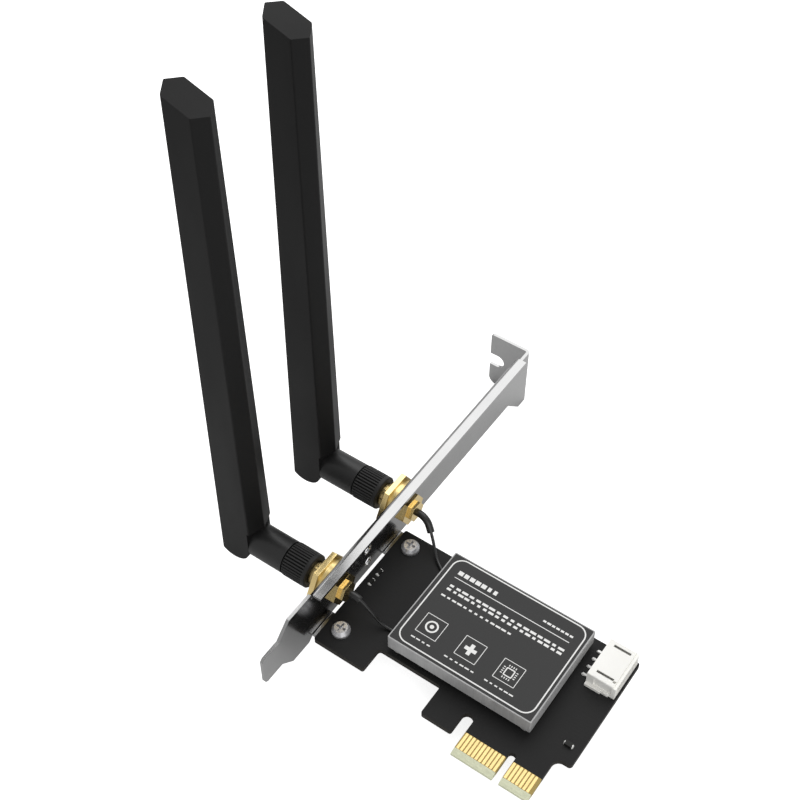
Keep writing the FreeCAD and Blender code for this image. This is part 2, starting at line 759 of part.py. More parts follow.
def screw_profile(body, name, shank, length, head, rise):
    """A pan-head screw turned about the vertical axis, its head resting at Z = 0."""
    profile = new_sketch(body, "XZ_Plane", name)
    polygon(profile, [
        (ZERO, -length),
        (shank - 0.2, -length),
        (shank, -length + 0.3),
        (shank, ZERO),
        (head, ZERO),
        (head, rise * 0.45),
        (head * 0.72, rise),
        (ZERO, rise),
    ])
    turned = body.newObject("PartDesign::Revolution", f"{name}_solid")
    turned.Profile = profile
    turned.ReferenceAxis = (profile, ["V_Axis"])
    turned.Angle = 360.0
    doc.recompute()
    return turned


def cross_recess(body, name, rise, reach, wide, depth):
    """A cross-shaped driver recess in the head."""
    recess = new_sketch(body, "XY_Plane", name, rise)
    half = wide / 2
    polygon(recess, [
        (reach, -half), (reach, half), (half, half), (half, reach),
        (-half, reach), (-half, half), (-reach, half), (-reach, -half),
        (-half, -half), (-half, -reach), (half, -reach), (half, -half),
    ])
    return pocket(body, recess, depth)


def screw_set(label, places, z, turned_over, shank, length, head, rise, reach, wide, depth):
    """Copies of one screw, each standing at its own place, joined in one node."""
    model = doc.addObject("PartDesign::Body", f"{label}_model")
    model.Label = f"{label} model"
    screw_profile(model, "screw", shank, length, head, rise)
    cross_recess(model, "recess", rise, reach, wide, depth)
    flip = Rotation(Vector(1, 0, 0), 180.0 if turned_over else 0.0)
    copies = []
    for along, across in places:
        copy = model.Shape.copy()
        spot = Vector(as_size(along).number, as_size(across).number, as_size(z).number)
        copy.Placement = Placement(spot, flip)
        copies.append(copy)
    group = doc.addObject("Part::Feature", label)
    group.Label = label
    group.Shape = Part.makeCompound(copies)
    place(group, -s.key_from_plate, 0.0, s.board_thickness / 2)
    parts.append(group)
    return group


# Antenna jacks

def jack_body(label, x_axis_low):
    """A body drawn about a jack's axis, with X = 0 on the bracket's inner face."""
    return new_body(label, y=x_axis_low, z=s.board_thickness / 2 + s.jack_height)


stub_start = s.hex_length + s.collar_length
stub_end = stub_start + s.stub_length
wire_start = as_size(1.5)


def make_jack(side, along):
    """Threaded jack with its flange and crimp stub, insulator and centre pin."""
    body = jack_body(f"{side}_jack", along)
    mouth_end = s.mouth_depth - s.jack_reach
    bore = s.dielectric_radius + s.running_gap
    neck = s.collar_flats / 2 - 0.1
    profile = new_sketch(body, "XY_Plane", "turned")
    polygon(profile, [
        (-s.jack_reach, s.mouth_radius),
        (-s.jack_reach, s.thread_radius - 0.4),
        (-s.jack_reach + 0.4, s.thread_radius),
        (s.hex_length, s.thread_radius),
        (s.hex_length, neck),
        (stub_start, neck),
        (stub_start, s.stub_radius),
        (stub_end, s.stub_radius),
        (stub_end, s.cable_radius + s.running_gap),
        (wire_start, s.cable_radius + s.running_gap),
        (wire_start, bore),
        (mouth_end, bore),
        (mouth_end, s.mouth_radius),
    ])
    revolve(body, profile)
    for name, start, length, flats, core in (
        ("flange", ZERO, s.hex_length, s.hex_flats, s.thread_radius),
        ("collar", s.hex_length, s.collar_length, s.collar_flats, neck),
    ):
        ring = new_sketch(body, "YZ_Plane", name, start)
        hexagon(ring, ZERO, ZERO, flats)
        circle(ring, 0.0, 0.0, core - 0.2)
        pad(body, ring, length)

    insulator = jack_body(f"{side}_jack_insulator", along)
    profile = new_sketch(insulator, "XY_Plane", "turned")
    hole = s.jack_pin_radius + 0.02
    polygon(profile, [
        (mouth_end, hole), (mouth_end, s.dielectric_radius),
        (wire_start, s.dielectric_radius), (wire_start, hole),
    ])
    revolve(insulator, profile)

    pin = jack_body(f"{side}_jack_pin", along)
    profile = new_sketch(pin, "XY_Plane", "turned")
    polygon(profile, [
        (-s.jack_reach + 0.3, ZERO), (-s.jack_reach + 0.3, s.jack_pin_radius - 0.2),
        (-s.jack_reach + 0.7, s.jack_pin_radius), (wire_start, s.jack_pin_radius),
        (wire_start, ZERO),
    ])
    revolve(pin, profile)


def make_jack_hardware():
    """The pair of washers and the pair of nuts that clamp the jacks to the plate."""
    washer_face = -s.sheet_thickness - s.washer_thickness
    hole = s.thread_radius + s.running_gap
    washers = jack_body("jack_washers", s.jack_low)
    ring = new_sketch(washers, "YZ_Plane", "ring", washer_face)
    circle(ring, 0.0, 0.0, s.washer_radius)
    circle(ring, 0.0, 0.0, hole)
    first = pad(washers, ring, s.washer_thickness)
    row_of(washers, first, ring, "H_Axis", s.jack_spacing, 2)
    nuts = jack_body("jack_nuts", s.jack_low)
    ring = new_sketch(nuts, "YZ_Plane", "ring", washer_face - s.nut_thickness)
    hexagon(ring, ZERO, ZERO, s.nut_flats)
    circle(ring, 0.0, 0.0, hole)
    first = pad(nuts, ring, s.nut_thickness)
    row_of(nuts, first, ring, "H_Axis", s.jack_spacing, 2)


# Cables inside the card

module_top = s.module_rise + s.module_board
plug_height = module_top + s.plug_axis
receptacle_x = module_start + s.receptacle_from_end
receptacle_low = module_low + s.receptacle_inset
receptacle_spacing = s.module_width - 2 * s.receptacle_inset
lying = s.cable_radius + s.cable_rest


def rounded_route(points):
    """Straight runs joined by tangent arcs, as one wire; prints each arc's radius."""
    edges = []
    last = points[0]
    radii = []
    for before, corner, after in zip(points, points[1:], points[2:]):
        inward = (before - corner).normalize()
        outward = (after - corner).normalize()
        turn = math.pi - inward.getAngle(outward)
        shorter = min((before - corner).Length, (after - corner).Length)
        reach = 0.45 * shorter
        radius = reach / math.tan(turn / 2)
        radii.append(radius)
        start = corner + inward * reach
        end = corner + outward * reach
        bisector = (inward + outward).normalize()
        middle = corner + bisector * (radius / math.cos(turn / 2) - radius)
        edges.append(Part.LineSegment(last, start).toShape())
        edges.append(Part.Arc(start, middle, end).toShape())
        last = end
    edges.append(Part.LineSegment(last, points[-1]).toShape())
    print("arc radii, mm:", ", ".join(f"{radius:.1f}" for radius in radii))
    return edges


def tube(edges, radius):
    """A round solid along a route that starts at the first edge's start."""
    wire = Part.Wire(edges)
    start = edges[0].valueAt(edges[0].FirstParameter)
    heading = edges[0].tangentAt(edges[0].FirstParameter)
    ring = Part.Wire(Part.makeCircle(radius, start, heading))
    solid = wire.makePipeShell([ring], True, False)
    length = sum(edge.Length for edge in edges)
    expected = math.pi * radius ** 2 * length
    if abs(solid.Volume - expected) > 0.02 * expected:
        raise RuntimeError(f"tube volume {solid.Volume:.2f}, expected {expected:.2f}")
    return solid


def add_feature(label, shape, y=0.0, z=None):
    """A sub-part whose shape is set here, placed in the card frame."""
    part = doc.addObject("Part::Feature", label)
    part.Label = label
    part.Shape = shape
    place(part, -s.key_from_plate, y, s.board_thickness / 2 if z is None else z)
    parts.append(part)
    return part


def make_pigtail(side, along, bends, receptacle_y):
    """A cable from its jack, under the cover's rim and up to its plug on the module."""
    axis = Vector(0, along.number, s.jack_height.number)
    first = Vector(wire_start.number, 0, 0) + axis
    plug_back = receptacle_x - s.receptacle_size / 2 - 0.6
    end = Vector(plug_back.number, receptacle_y.number, plug_height.number)
    points = [first] + [Vector(*numbers([bend])[0]) for bend in bends] + [end]
    edges = rounded_route(points)
    cable = tube(edges, s.cable_radius.number)
    add_feature(f"{side}_pigtail", cable)
    return edges


def first_stretch(edges, length):
    """The edges of a route from its start, up to a length along it."""
    taken = []
    for edge in edges:
        if edge.Length >= length:
            end = edge.getParameterByLength(length)
            taken.append(edge.Curve.toShape(edge.FirstParameter, end))
            break
        taken.append(edge)
        length -= edge.Length
    return taken


def make_sleeve(side, along, edges, covered):
    """Heat-shrink sleeve over the crimp stub and the start of the cable."""
    start = Vector(stub_start.number, along.number, s.jack_height.number)
    first_end = edges[0].valueAt(edges[0].LastParameter)
    route = [Part.LineSegment(start, first_end).toShape()] + edges[1:]
    outer = tube(first_stretch(route, covered.number), s.sleeve_radius.number)
    stub = Part.makeCylinder(
        s.stub_radius.number + 0.02, s.stub_length.number + 0.02, start, Vector(1, 0, 0)
    )
    cable = tube(edges[:5], s.cable_radius.number + s.running_gap.number)
    add_feature(f"{side}_sleeve", outer.cut(stub).cut(cable))


def make_cable_plug(side, receptacle_y):
    """The small snap-on plug at the module end of a pigtail."""
    body = new_body(f"{side}_cable_plug")
    half = s.receptacle_size / 2
    gap = s.running_gap
    outline = new_sketch(body, "XY_Plane", "cap", module_top + 0.35)
    circle(outline, receptacle_x, receptacle_y, half + 0.1)
    pad(body, outline, s.plug_axis + s.cable_radius)
    barrel = new_sketch(body, "YZ_Plane", "crimp", receptacle_x - half - 0.6)
    circle(barrel, receptacle_y, plug_height, s.cable_radius + 0.15)
    pad(body, barrel, half + 0.6)
    hollow = new_sketch(body, "XY_Plane", "hollow", module_top + 0.35)
    circle(hollow, receptacle_x, receptacle_y, half - 0.45 + gap)
    pocket(body, hollow, 0.8, backwards=True)


# Radio module, its socket, standoff, screw, shield and thermal pad

socket_start = module_end - s.module_entry + 0.1
socket_end = socket_start + s.socket_length
shield_start = module_start + s.shield_start
shield_end = module_end - s.module_entry - s.shield_gap
shield_low = module_low + s.shield_inset
shield_high = module_high - s.shield_inset
cavity_top = s.cover_top - s.cover_wall


def make_module():
    """The plug-in radio module and everything that holds and cools it."""
    body = new_body("module_board")
    tab_low = module_low + s.tab_step
    tab_high = module_high - s.tab_step
    neck = module_end - s.module_entry
    outline = new_sketch(body, "XY_Plane", "outline", s.module_rise)
    key_low = tab_low + 4.0
    key_high = key_low + 1.2
    polygon(outline, [
        (module_start, module_low), (neck, module_low), (neck, tab_low),
        (module_end, tab_low), (module_end, key_low), (module_end - 3.5, key_low),
        (module_end - 3.5, key_high), (module_end, key_high), (module_end, tab_high),
        (neck, tab_high), (neck, module_high), (module_start, module_high),
    ])
    pad(body, outline, s.module_board)
    notch = new_sketch(body, "XY_Plane", "end_notch", s.module_rise - clip)
    circle(notch, module_start, s.module_middle, 1.75)
    pocket(body, notch, s.module_board + 2 * clip, backwards=True)

    body = new_body("module_shield")
    outline = new_sketch(body, "XY_Plane", "outline", module_top)
    rectangle(outline, shield_start, shield_end, shield_low, shield_high)
    pad(body, outline, s.shield_height)
    inside = new_sketch(body, "XY_Plane", "inside", module_top)
    sheet_wall = s.shield_sheet
    rectangle(inside, shield_start + sheet_wall, shield_end - sheet_wall,
              shield_low + sheet_wall, shield_high - sheet_wall)
    pocket(body, inside, s.shield_height - sheet_wall, backwards=True)

    pad_bottom = module_top + s.shield_height
    margin = 5 * s.shield_sheet
    box_body("thermal_pad", shield_start + margin, shield_end - margin,
             shield_low + 1.5 * margin, shield_high - 1.5 * margin,
             pad_bottom, cavity_top - pad_bottom)

    body = new_body("module_receptacles")
    outline = new_sketch(body, "XY_Plane", "foot", module_top)
    half = s.receptacle_size / 2
    rectangle(outline, receptacle_x - half, receptacle_x + half,
              receptacle_low - half, receptacle_low + half)
    foot = pad(body, outline, 0.3)
    row_of(body, foot, outline, "V_Axis", receptacle_spacing, 2)
    outline = new_sketch(body, "XY_Plane", "rings", module_top + 0.3)
    for across in (receptacle_low, receptacle_low + receptacle_spacing):
        circle(outline, receptacle_x, across, half - 0.45)
        circle(outline, receptacle_x, across, half - 0.65)
    pad(body, outline, 0.7)

    body = new_body("module_socket")
    side_gap = 0.05
    outline = new_sketch(body, "XY_Plane", "outline")
    rectangle(outline, socket_start, socket_end, module_low + side_gap, module_high - side_gap)
    pad(body, outline, s.socket_height)
    slot = new_sketch(body, "YZ_Plane", "slot", socket_start - clip)
    rectangle(slot, tab_low - side_gap, tab_high + side_gap,
              s.module_rise - side_gap, module_top + side_gap)
    pocket(body, slot, s.module_entry + clip + side_gap, backwards=True)

    body = new_body("socket_contacts")
    outline = new_sketch(body, "XY_Plane", "tail")
    first = s.module_middle - 8.0
    rectangle(outline, socket_end, socket_end + 0.8, first - 0.11, first + 0.11)
    tail = pad(body, outline, 0.15)
    row_of(body, tail, outline, "V_Axis", as_size(0.5), 33)

    body = new_body("module_standoff")
    outline = new_sketch(body, "XY_Plane", "ring")
    circle(outline, module_start, s.module_middle, s.standoff_radius)
    circle(outline, module_start, s.module_middle, 1.0)
    pad(body, outline, s.module_rise)

    screw_set("module_screw", [(module_start, s.module_middle)], module_top, False,
              s.module_screw_shank, module_top - 0.2, s.module_screw_head,
              s.module_screw_rise, s.module_screw_head * 0.4, s.recess_wide * 0.7,
              s.module_screw_rise * 0.6)


def make_cover():
    """The metal cover on four posts, its label and the screws from under the board."""
    body = new_body("cover")
    start = s.cover_start
    wall = s.cover_wall
    outline = new_sketch(body, "XY_Plane", "outline", s.cover_gap)
    rectangle(outline, start, cover_end, cover_low, cover_high)
    pad(body, outline, s.cover_top - s.cover_gap)
    inside = new_sketch(body, "XY_Plane", "inside", s.cover_gap)
    rectangle(inside, start + wall, cover_end - wall, cover_low + wall, cover_high - wall)
    pocket(body, inside, cavity_top - s.cover_gap, backwards=True)
    posts = new_sketch(body, "XY_Plane", "posts")
    for along, across in cover_post_places():
        circle(posts, along, across, s.post_radius)
    pad(body, posts, cavity_top + 0.2)
    bores = new_sketch(body, "XY_Plane", "bores")
    for along, across in cover_post_places():
        circle(bores, along, across, s.post_bore)
    base = pocket(body, bores, s.bore_depth, backwards=True)
    corners = [(x, y) for x in (start, cover_end) for y in (cover_low, cover_high)]
    fillet(body, base, parallel_at(2, numbers(corners)), s.label_inset)

    inset = s.label_inset
    label = box_body("cover_label", start + inset, cover_end - inset,
                     cover_low + inset, cover_high - inset, s.cover_top, s.label_thickness)
    corners = [(x, y) for x in (start + inset, cover_end - inset)
               for y in (cover_low + inset, cover_high - inset)]
    fillet(label, label.Tip, parallel_at(2, numbers(corners)), inset * 0.7)

    screw_set("cover_screws", cover_post_places(), board_under, True,
              s.post_bore - s.running_gap, s.cover_screw_length, s.cover_screw_head,
              s.cover_screw_rise, s.cover_screw_head * 0.6, s.recess_wide * 0.7,
              s.cover_screw_rise * 0.5)


# Small parts on the board

def make_header():
    """Four-way side-entry header: a housing open towards the board's far edge, and its pins."""
    body = new_body("header_housing")
    start, end = header_start, header_end
    low, high = s.header_low, s.header_low + s.header_width
    top = s.header_height
    wall = s.header_wall
    side_low, side_high = low + s.side_step, high - s.side_step
    outline = new_sketch(body, "XY_Plane", "outline")
    rectangle(outline, start, end, side_low, side_high)
    pad(body, outline, top)
    rim = new_sketch(body, "XZ_Plane", "rim", -high - clip)
    rectangle(rim, end - s.rim_length, end + clip, top - s.rim_drop, top + clip)
    pocket(body, rim, s.header_width + 2 * clip, backwards=True)
    for number, reach in enumerate((s.header_length * 0.8, s.header_length * 0.55)):
        inner = s.side_step * (1 - number)
        outer = inner - s.side_step
        feet = new_sketch(body, "XY_Plane", f"side_feet_{number}")
        rectangle(feet, start, start + reach, low + outer, low + inner)
        rectangle(feet, start, start + reach, high - inner, high - outer)
        pad(body, feet, s.side_foot)
    for name, plane in (("low_side", -side_low - s.side_slot),
                        ("high_side", -side_high + s.side_slot)):
        hollow = new_sketch(body, "XZ_Plane", name, plane)
        rectangle(hollow, start + s.header_length * 0.25, end - s.rim_length - 0.3,
                  s.side_foot + 0.3, top - s.header_wall)
        pocket(body, hollow, s.side_slot + clip, backwards=name == "low_side")
    ribs = new_sketch(body, "XY_Plane", "back_rib")
    between = low + s.pin_first + s.header_pitch / 2 - s.rib_wide / 2
    rectangle(ribs, start - s.side_step, start + clip, between, between + s.rib_wide)
    rib = pad(body, ribs, s.rib_rise)
    row_of(body, rib, ribs, "V_Axis", s.header_pitch, 3)
    mouth = new_sketch(body, "YZ_Plane", "mouth", end + clip)
    rectangle(mouth, side_low + wall, side_high - wall, wall, top - wall)
    pocket(body, mouth, s.header_length - wall - 0.4 + clip)
    windows = new_sketch(body, "XY_Plane", "windows", top + clip)
    slot_start = start + s.header_length * 0.2
    window = low + s.pin_first - s.slot_wide
    for across in (low + s.pin_first, high - 2 * wall):
        rectangle(windows, slot_start, slot_start + s.slot_long,
                  across - s.slot_wide / 2, across + s.slot_wide / 2)
    rectangle(windows, end - 2 * s.rim_length, end - s.rim_length - 0.1,
              window, window + s.slot_wide)
    base = pocket(body, windows, wall + 2 * clip)
    fillet(body, base, parallel_at(0, numbers([(side_low, top), (side_high, top)])), wall / 3)

    pins = new_body("header_pins")
    first = low + s.pin_first
    half = s.pin_wide / 2
    middle = top / 2
    tail = start - s.pin_tail
    bent = new_sketch(pins, "XZ_Plane", "bent_pin", -(first - half))
    polygon(bent, [
        (tail, ZERO), (start + 0.5, ZERO), (start + 0.5, middle - half),
        (end - 2 * s.rim_length, middle - half), (end - 2 * s.rim_length, middle + half),
        (start - 0.14, middle + half), (start - 0.14, half * 1.2), (tail, half * 1.2),
    ])
    pin = pad(pins, bent, s.pin_wide, backwards=True)
    lane = new_sketch(pins, "XY_Plane", "lane")
    circle(lane, start, first, half)
    row_of(pins, pin, lane, "V_Axis", s.header_pitch, 4)


def make_small_parts():
    """Two status lamps beside the bracket and one capacitor at the board's corner."""
    lamps = new_body("status_lamps")
    outline = new_sketch(lamps, "XY_Plane", "lamp")
    half = s.lamp_wide / 2
    rectangle(outline, s.lamp_from_plate - half, s.lamp_from_plate + half,
              s.lamp_low, s.lamp_low + s.lamp_long)
    lamp = pad(lamps, outline, s.lamp_rise)
    row_of(lamps, lamp, outline, "V_Axis", s.lamp_spacing, 2)
    middle = board_end - s.capacitor_from_end
    half_long, half_wide = s.capacitor_long / 2, s.capacitor_wide / 2
    box_body("corner_capacitor", middle - half_long, middle + half_long,
             s.capacitor_along - half_wide, s.capacitor_along + half_wide,
             ZERO, s.capacitor_rise)


# Antennas

hinge_x = -(s.barrel_end + s.ear_radius)
hinge_z = -s.hinge_drop
ear_round = s.ear_radius - s.ear_gap
blade_axis = hinge_x + s.hinge_drop
foot_z = hinge_z - s.ear_radius
slot_half = s.tongue_thick / 2 + 0.15
slot_top = hinge_z + s.tongue_radius + 0.15
core_face = -s.jack_reach
flange_back = core_face - s.core_flange
core_end = flange_back - s.core_length
lead_x = hinge_x + 2.2


def make_coupling_nut(side, along):
    """Knurled nut that draws the antenna onto its jack."""
    body = jack_body(f"{side}_coupling_nut", along)
    chamber = -(s.grip_end - 1.5)
    profile = new_sketch(body, "XY_Plane", "turned")
    polygon(profile, [
        (-s.grip_start, s.thread_radius + s.running_gap),
        (-s.grip_start, s.grip_radius - s.grip_round),
        (-s.grip_start - s.grip_round, s.grip_radius),
        (-s.grip_end + s.grip_round, s.grip_radius),
        (-s.grip_end, s.grip_radius - s.grip_round),
        (-s.grip_end, s.core_radius + s.running_gap),
        (chamber, s.core_radius + s.running_gap),
        (chamber, s.thread_radius + s.running_gap),
    ])
    revolve(body, profile)
    groove = new_sketch(body, "YZ_Plane", "groove", -s.grip_start - s.grip_ring)
    wide = s.grip_groove * 0.7
    polygon(groove, [
        (-wide - 0.04, s.grip_radius + 0.05),
        (ZERO, s.grip_radius - s.grip_groove),
        (wide + 0.04, s.grip_radius + 0.05),
    ])
    cut = pocket(body, groove, s.grip_end - s.grip_start - s.grip_ring + clip)
    ring = body.newObject("PartDesign::PolarPattern", "knurl")
    ring.Originals = [cut]
    ring.Axis = (groove, ["N_Axis"])
    ring.Angle = 360.0
    ring.Occurrences = KNURL_GROOVES
    body.Tip = ring
    doc.recompute()


def make_plug_core(side, along):
    """The antenna plug's metal core, its insulator and its centre socket."""
    body = jack_body(f"{side}_plug_core", along)
    sleeve_outer = s.mouth_radius - s.running_gap
    sleeve_inner = sleeve_outer - 0.25
    sleeve_end = core_face + s.mouth_depth - 0.1
    bore = as_size(1.2)
    step = flange_back - 2.0
    profile = new_sketch(body, "XY_Plane", "turned")
    polygon(profile, [
        (sleeve_end, sleeve_inner), (sleeve_end, sleeve_outer), (core_face, sleeve_outer),
        (core_face, s.thread_radius - 0.05), (flange_back, s.thread_radius - 0.05),
        (flange_back, s.core_radius), (core_end, s.core_radius), (core_end, bore),
        (step, bore), (step, sleeve_inner),
    ])
    revolve(body, profile)
    insulator = jack_body(f"{side}_plug_insulator", along)
    profile = new_sketch(insulator, "XY_Plane", "turned")
    front = core_face + 0.6
    polygon(profile, [
        (front, 0.75), (front, sleeve_inner - 0.02),
        (step, sleeve_inner - 0.02), (step, 0.75),
    ])
    revolve(insulator, profile)
    contact = jack_body(f"{side}_plug_socket", along)
    profile = new_sketch(contact, "XY_Plane", "turned")
    hole = s.jack_pin_radius + 0.03
    pin_end = core_face + 0.3
    polygon(profile, [
        (front, hole), (front, 0.73), (step, 0.73), (step, ZERO),
        (pin_end - 2.0, ZERO), (pin_end - 2.0, hole),
    ])
    revolve(contact, profile)


def make_barrel(side, along):
    """The barrel that swivels on the plug, ending in the tongue of the elbow hinge."""
    body = jack_body(f"{side}_barrel", along)
    start = -(s.grip_end + s.slide_gap)
    end = -s.barrel_end
    bore = s.core_radius + s.running_gap
    lead = as_size(0.6)
    profile = new_sketch(body, "XY_Plane", "turned")
    polygon(profile, [
        (start, bore), (start, s.barrel_radius), (end, s.barrel_radius), (end, lead),
        (core_end - s.running_gap, lead), (core_end - s.running_gap, bore),
    ])
    revolve(body, profile)
    half = s.tongue_thick / 2
    tongue = new_sketch(body, "XZ_Plane", "tongue", half)
    rectangle(tongue, hinge_x, end + 0.5,
              hinge_z - s.tongue_radius, hinge_z + s.tongue_radius)
    pad(body, tongue, s.tongue_thick, backwards=True)
    nose = new_sketch(body, "XZ_Plane", "nose", half)
    circle(nose, hinge_x, hinge_z, s.tongue_radius)
    pad(body, nose, s.tongue_thick, backwards=True)
    hole = new_sketch(body, "XZ_Plane", "pin_hole", half + clip)
    circle(hole, hinge_x, hinge_z, s.hinge_pin_radius + 0.02)
    pocket(body, hole, s.tongue_thick + 2 * clip)
    channel = new_sketch(body, "YZ_Plane", "lead_bore", core_end)
    circle(channel, 0.0, 0.0, lead)
    pocket(body, channel, core_end - lead_x + lead)
    rise = new_sketch(body, "XY_Plane", "lead_way")
    rectangle(rise, lead_x - lead, lead_x + 1.3, -lead, lead)
    pocket(body, rise, s.tongue_radius, backwards=True)

    pin = jack_body(f"{side}_hinge_pin", along)
    outline = new_sketch(pin, "XZ_Plane", "outline", s.hinge_pin_length / 2)
    circle(outline, hinge_x, hinge_z, s.hinge_pin_radius)
    pad(pin, outline, s.hinge_pin_length, backwards=True)

    points = [
        Vector(core_end.number + 4.0, 0, 0),
        Vector(lead_x.number, 0, 0),
        Vector(lead_x.number, 0, slot_top.number - 0.2),
    ]
    lead_z = s.board_thickness / 2 + s.jack_height
    edges = rounded_route(points)
    add_feature(f"{side}_barrel_lead", tube(edges, s.lead_radius.number), along, lead_z)


def hexagon_section(body, name, z, tip, flat, half):
    """One six-sided section of the blade, tips on the X axis."""
    section = new_sketch(body, "XY_Plane", name, z)
    polygon(section, [
        (blade_axis + tip, ZERO), (blade_axis + flat, half), (blade_axis - flat, half),
        (blade_axis - tip, ZERO), (blade_axis - flat, -half), (blade_axis + flat, -half),
    ])
    return section


def make_blade(side, along):
    """The folding blade: a tapered six-sided housing with a forked, rounded foot."""
    body = jack_body(f"{side}_blade", along)
    head_z = s.blade_head + s.blade_head_tip * s.blade_slant + 1.0
    foot = hexagon_section(body, "foot", foot_z, s.blade_foot_tip, s.blade_foot_flat,
                           s.blade_foot_half)
    head = hexagon_section(body, "head", head_z, s.blade_head_tip, s.blade_head_flat,
                           s.blade_head_half)
    loft = body.newObject("PartDesign::AdditiveLoft", "housing")
    loft.Profile = foot
    loft.Sections = [head]
    loft.Ruled = True
    doc.recompute()
    reach = s.blade_foot_tip * 1.5
    rise = reach * s.blade_slant
    side_cut = s.blade_foot_half + 1.0
    top = new_sketch(body, "XZ_Plane", "slanted_top", side_cut)
    polygon(top, [
        (blade_axis - reach, s.blade_head + rise), (blade_axis + reach, s.blade_head - rise),
        (blade_axis + reach, head_z + 1.0), (blade_axis - reach, head_z + 1.0),
    ])
    pocket(body, top, 2 * side_cut)
    long_edges = blade_long_edges(body.Tip.Shape)
    dress(body, "PartDesign::Fillet", body.Tip, long_edges, "Radius", as_size(0.5))

    recess = new_sketch(body, "XZ_Plane", "recess", side_cut)
    shoulder = -s.barrel_end
    rectangle(recess, shoulder, shoulder + s.ear_room, foot_z - 1.0, s.recess_top)
    pocket(body, recess, 2 * side_cut)
    round_foot = new_sketch(body, "XZ_Plane", "round_foot", side_cut)
    far = s.blade_foot_tip + 2.0
    bottom = hinge_z - ear_round
    quarter = ear_round - 0.01
    polygon(round_foot, [
        (hinge_x - far, hinge_z), (hinge_x - far, foot_z - 1.0), (hinge_x + far, foot_z - 1.0),
        (hinge_x + far, hinge_z), (hinge_x + ear_round, hinge_z),
        (hinge_x + ear_round, bottom, quarter), (hinge_x - ear_round, bottom, quarter),
        (hinge_x - ear_round, hinge_z),
    ])
    pocket(body, round_foot, 2 * side_cut)

    slot = new_sketch(body, "XZ_Plane", "tongue_slot", slot_half)
    rectangle(slot, hinge_x - s.tongue_radius - 0.15, shoulder + s.ear_room,
              foot_z - 1.0, slot_top)
    pocket(body, slot, 2 * slot_half)
    hole = new_sketch(body, "XZ_Plane", "pin_hole", s.hinge_pin_length / 2 + 0.05)
    circle(hole, hinge_x, hinge_z, s.hinge_pin_radius + s.running_gap)
    pocket(body, hole, s.hinge_pin_length + 0.1)
    cavity = new_sketch(body, "XY_Plane", "cavity", slot_top - clip)
    half_wide = s.cavity_width / 2
    half_thick = s.cavity_thick / 2
    rectangle(cavity, blade_axis - half_wide, blade_axis + half_wide, -half_thick, half_thick)
    pocket(body, cavity, radiator_top - slot_top + clip + 1.0, backwards=True)


def blade_long_edges(shape):
    """The six edges that run from the blade's foot to its head."""
    least = s.blade_head.number * 0.8
    return edges_where(shape, lambda edge: edge.Length > least)


radiator_low = slot_top + 9.0
radiator_top = radiator_low + s.radiator_length


def make_radiator(side, along):
    """The radiator strip in the blade and the end of its lead."""
    body = jack_body(f"{side}_radiator", along)
    outline = new_sketch(body, "XY_Plane", "outline", radiator_low)
    half_wide = s.cavity_width / 2 - 0.05
    half_thick = s.radiator_thick / 2
    rectangle(outline, blade_axis - half_wide, blade_axis + half_wide, -half_thick, half_thick)
    pad(body, outline, s.radiator_length)
    body = jack_body(f"{side}_blade_lead", along)
    outline = new_sketch(body, "XY_Plane", "outline", slot_top + 0.1)
    circle(outline, lead_x, ZERO, s.lead_radius)
    pad(body, outline, radiator_low - slot_top - 0.1)


# Build

make_bracket()
make_board()
make_fingers()
screw_set("bracket_screws", screw_places, ZERO, False, s.screw_shank, s.screw_length,
          s.screw_head, s.screw_rise, s.recess_reach, s.recess_wide, s.recess_depth)
make_jack_hardware()
make_module()
make_cover()
make_header()
make_small_parts()

# Each pigtail leaves its jack straight, drops onto the board, passes under the cover's rim and
# rises to its plug. Its bends are set from the jack, the cover and the plug that it reaches.
under_rim = s.cover_start + 1.7
before_plug = receptacle_x - 4.5
upper_along = s.jack_low + s.jack_spacing
receptacles = {"lower": receptacle_low, "upper": receptacle_low + receptacle_spacing}
routes = {
    "lower": [
        (s.first_bend + 0.3, s.jack_low, s.jack_height),
        (s.cover_start - 4.3, s.jack_low + 0.46, lying),
        (under_rim, s.jack_low + 1.36, lying),
        (before_plug, receptacles["lower"], plug_height),
    ],
    "upper": [
        (s.first_bend, upper_along, s.jack_height),
        (s.cover_start - 8.2, upper_along - 1.9, s.jack_height - 4.3),
        (s.cover_start - 4.6, upper_along - 5.4, lying),
        (under_rim, receptacles["upper"] + 1.4, lying),
        (before_plug, receptacles["upper"], plug_height),
    ],
}
sleeves = {"lower": s.lower_sleeve, "upper": s.upper_sleeve}
jacks = {"lower": s.jack_low, "upper": upper_along}
for side, along in jacks.items():
    make_jack(side, along)
    edges = make_pigtail(side, along, routes[side], receptacles[side])
    make_sleeve(side, along, edges, sleeves[side])
    make_cable_plug(side, receptacles[side])
    make_coupling_nut(side, along)
    make_plug_core(side, along)
    make_barrel(side, along)
    make_blade(side, along)
    make_radiator(side, along)

doc.recompute()

# Every object must be sound before anything is written

for obj in doc.Objects:
    for word in ("Invalid", "Error"):
        if word in obj.State:
            raise RuntimeError(f"{obj.Label}: {obj.State}")
for part in parts:
    if part.Shape.isNull() or not part.Shape.isValid():
        raise RuntimeError(f"{part.Label} has no valid shape")

os.makedirs("parts", exist_ok=True)
for part in parts:
    part.Shape.exportStep(os.path.join("parts", part.Label + ".step"))
    box = part.Shape.BoundBox
    print(f"{part.Label:24s} solids {len(part.Shape.Solids):3d} volume {part.Shape.Volume:9.2f} "
          f"x {box.XMin:7.2f} {box.XMax:7.2f} y {box.YMin:7.2f} {box.YMax:7.2f} "
          f"z {box.ZMin:7.2f} {box.ZMax:7.2f}")
